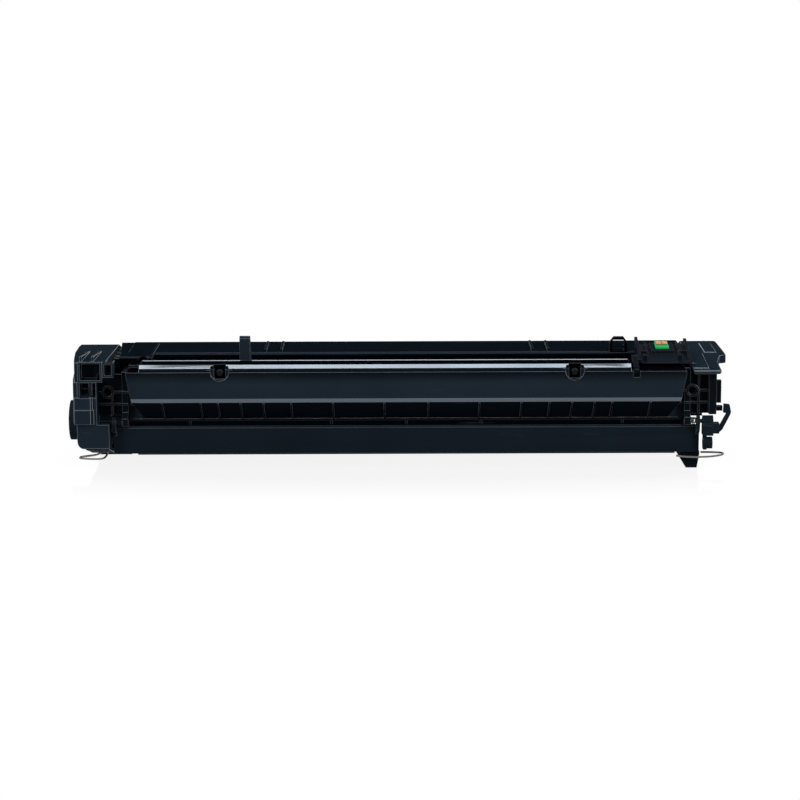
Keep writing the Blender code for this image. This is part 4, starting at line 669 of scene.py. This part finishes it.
# Shade walls. Two plain dark walls put behind the right frame and its foot, which close the gaps
# beside the bin and the hopper: painted shade where only darkness shows. The photograph shows only
# that no light comes through there.
SHADE_WALLS = (("frame_shade_wall", (0.1652, -0.0170, 0.0500), (0.1728, -0.0140, 0.0590)),
        ("foot_shade_wall", (0.1682, 0.0030, 0.0239), (0.1798, 0.0060, 0.0278)))
for name, shade_wall_low, shade_wall_high in SHADE_WALLS:
    shade_wall = bmesh.new()
    bmesh.ops.create_cube(shade_wall, size=1.0)
    for vert in shade_wall.verts:
        spans = zip(shade_wall_low, shade_wall_high, vert.co)
        vert.co = Vector([low + (high - low) * (share + 0.5) for low, high, share in spans])
    housed(name, meshed(name, shade_wall, frame_painted_shade))

# Hinge pins, spring and wire loops. The shutter turns on two blackened pins and is pulled shut
# by a weak spring. The spring and the loops at both ends are bent from steel wire.
wire_steel = lined("wire_steel", (0.15, 0.145, 0.14), EVEN, 0.20, metallic=1.0, depth=0.08)
finished(black_screw, "hinge_pin_left", "hinge_pin_right")
finished(wire_steel, "shutter_spring", "wire_loop_left", "wire_loop_right")

# Shutter. A long black tray that covers the drum until the cartridge is in the printer. It is
# moulded smoother than the housing, with its lever at the right end.
LIP_RISE = 0.0013
LIP_BACK, LIP_TOP = -0.030, 0.0100


def raised_lip(shape):
    """Lifts the tray's front lip, which the photograph shows a little above the plain solid."""
    for vert in shape.verts:
        if vert.co.y < LIP_BACK and vert.co.z < LIP_TOP:
            vert.co.z += LIP_RISE


shutter_black = moulded("shutter_black", (0.0058, 0.0096, 0.0142), 0.55, specular=0.01,
                        depth=0.12, scuffs=0.12)
dressed("shutter", shutter_black, glossy_edge_painted_highlight, width=0.0003, reshape=raised_lip)
dressed("shutter_lever", shutter_black, glossy_edge_painted_highlight, width=0.0003)

# End caps. Screwed on last, they cover the gears at the left and carry the guide faces. The
# left one ends in a ring round the drum's coupling.
cap_black = moulded("cap_black", (0.0080, 0.0130, 0.0186), 0.60, specular=0.01)
# The caps' upper faces take a slightly lighter colour without gloss: painted light on the tops.
cap_top_painted_light = moulded("cap_top_painted_light", (0.0085, 0.0145, 0.0210), 0.75, specular=0.0)
for node in ("left_end_cap", "right_end_cap"):
    dressed(node, cap_black, glossy_edge_painted_highlight, width=0.0002, bands=((cap_top_painted_light, looks_up),), clamp=False)

# Chip. A small green board with fine traces under its mask and two gilt pads, in a holder
# clipped on the bin's right end.
TRACE_PITCH, TRACE_GAP, TRACE_DEPTH = 900.0, 0.05, 0.2
MASK_SPECULAR, MASK_ROUGHNESS = 0.05, 0.30
MASK_GREEN, MASK_LIGHTER = (0.0030, 0.190, 0.042, 1), (0.0035, 0.215, 0.048, 1)
TRACE_GREEN = (0.0060, 0.290, 0.075, 1)
holder_black = moulded("holder_black", (0.0030, 0.0052, 0.0080), 0.60, specular=0.01)
dressed("chip_holder", holder_black, glossy_edge_painted_highlight, width=0.0003)
solder_mask = bpy.data.materials.new("solder_mask")
solder_mask.use_nodes = True
tree = solder_mask.node_tree
mask = filled(tree.nodes["Principled BSDF"],
              {"Specular IOR Level": MASK_SPECULAR, "Roughness": MASK_ROUGHNESS})
at = tree.nodes.new("ShaderNodeTexCoord")
traces = filled(tree.nodes.new("ShaderNodeTexBrick"), {
    "Scale": TRACE_PITCH, "Mortar Size": TRACE_GAP, "Color1": MASK_GREEN, "Color2": MASK_LIGHTER,
    "Mortar": TRACE_GREEN})
wired(tree, (at.outputs["Object"], traces.inputs["Vector"]),
      (traces.outputs["Color"], mask.inputs["Base Color"]))
bumped(tree, traces.outputs["Fac"], TRACE_DEPTH, LINE_HEIGHT)
gilt = lined("gilt", (0.46, 0.215, 0.090), EVEN, 0.38, metallic=0.2, depth=0.08, specular=0.1)
finished(solder_mask, "chip_board")
finished(gilt, "chip_contact_1", "chip_contact_2")
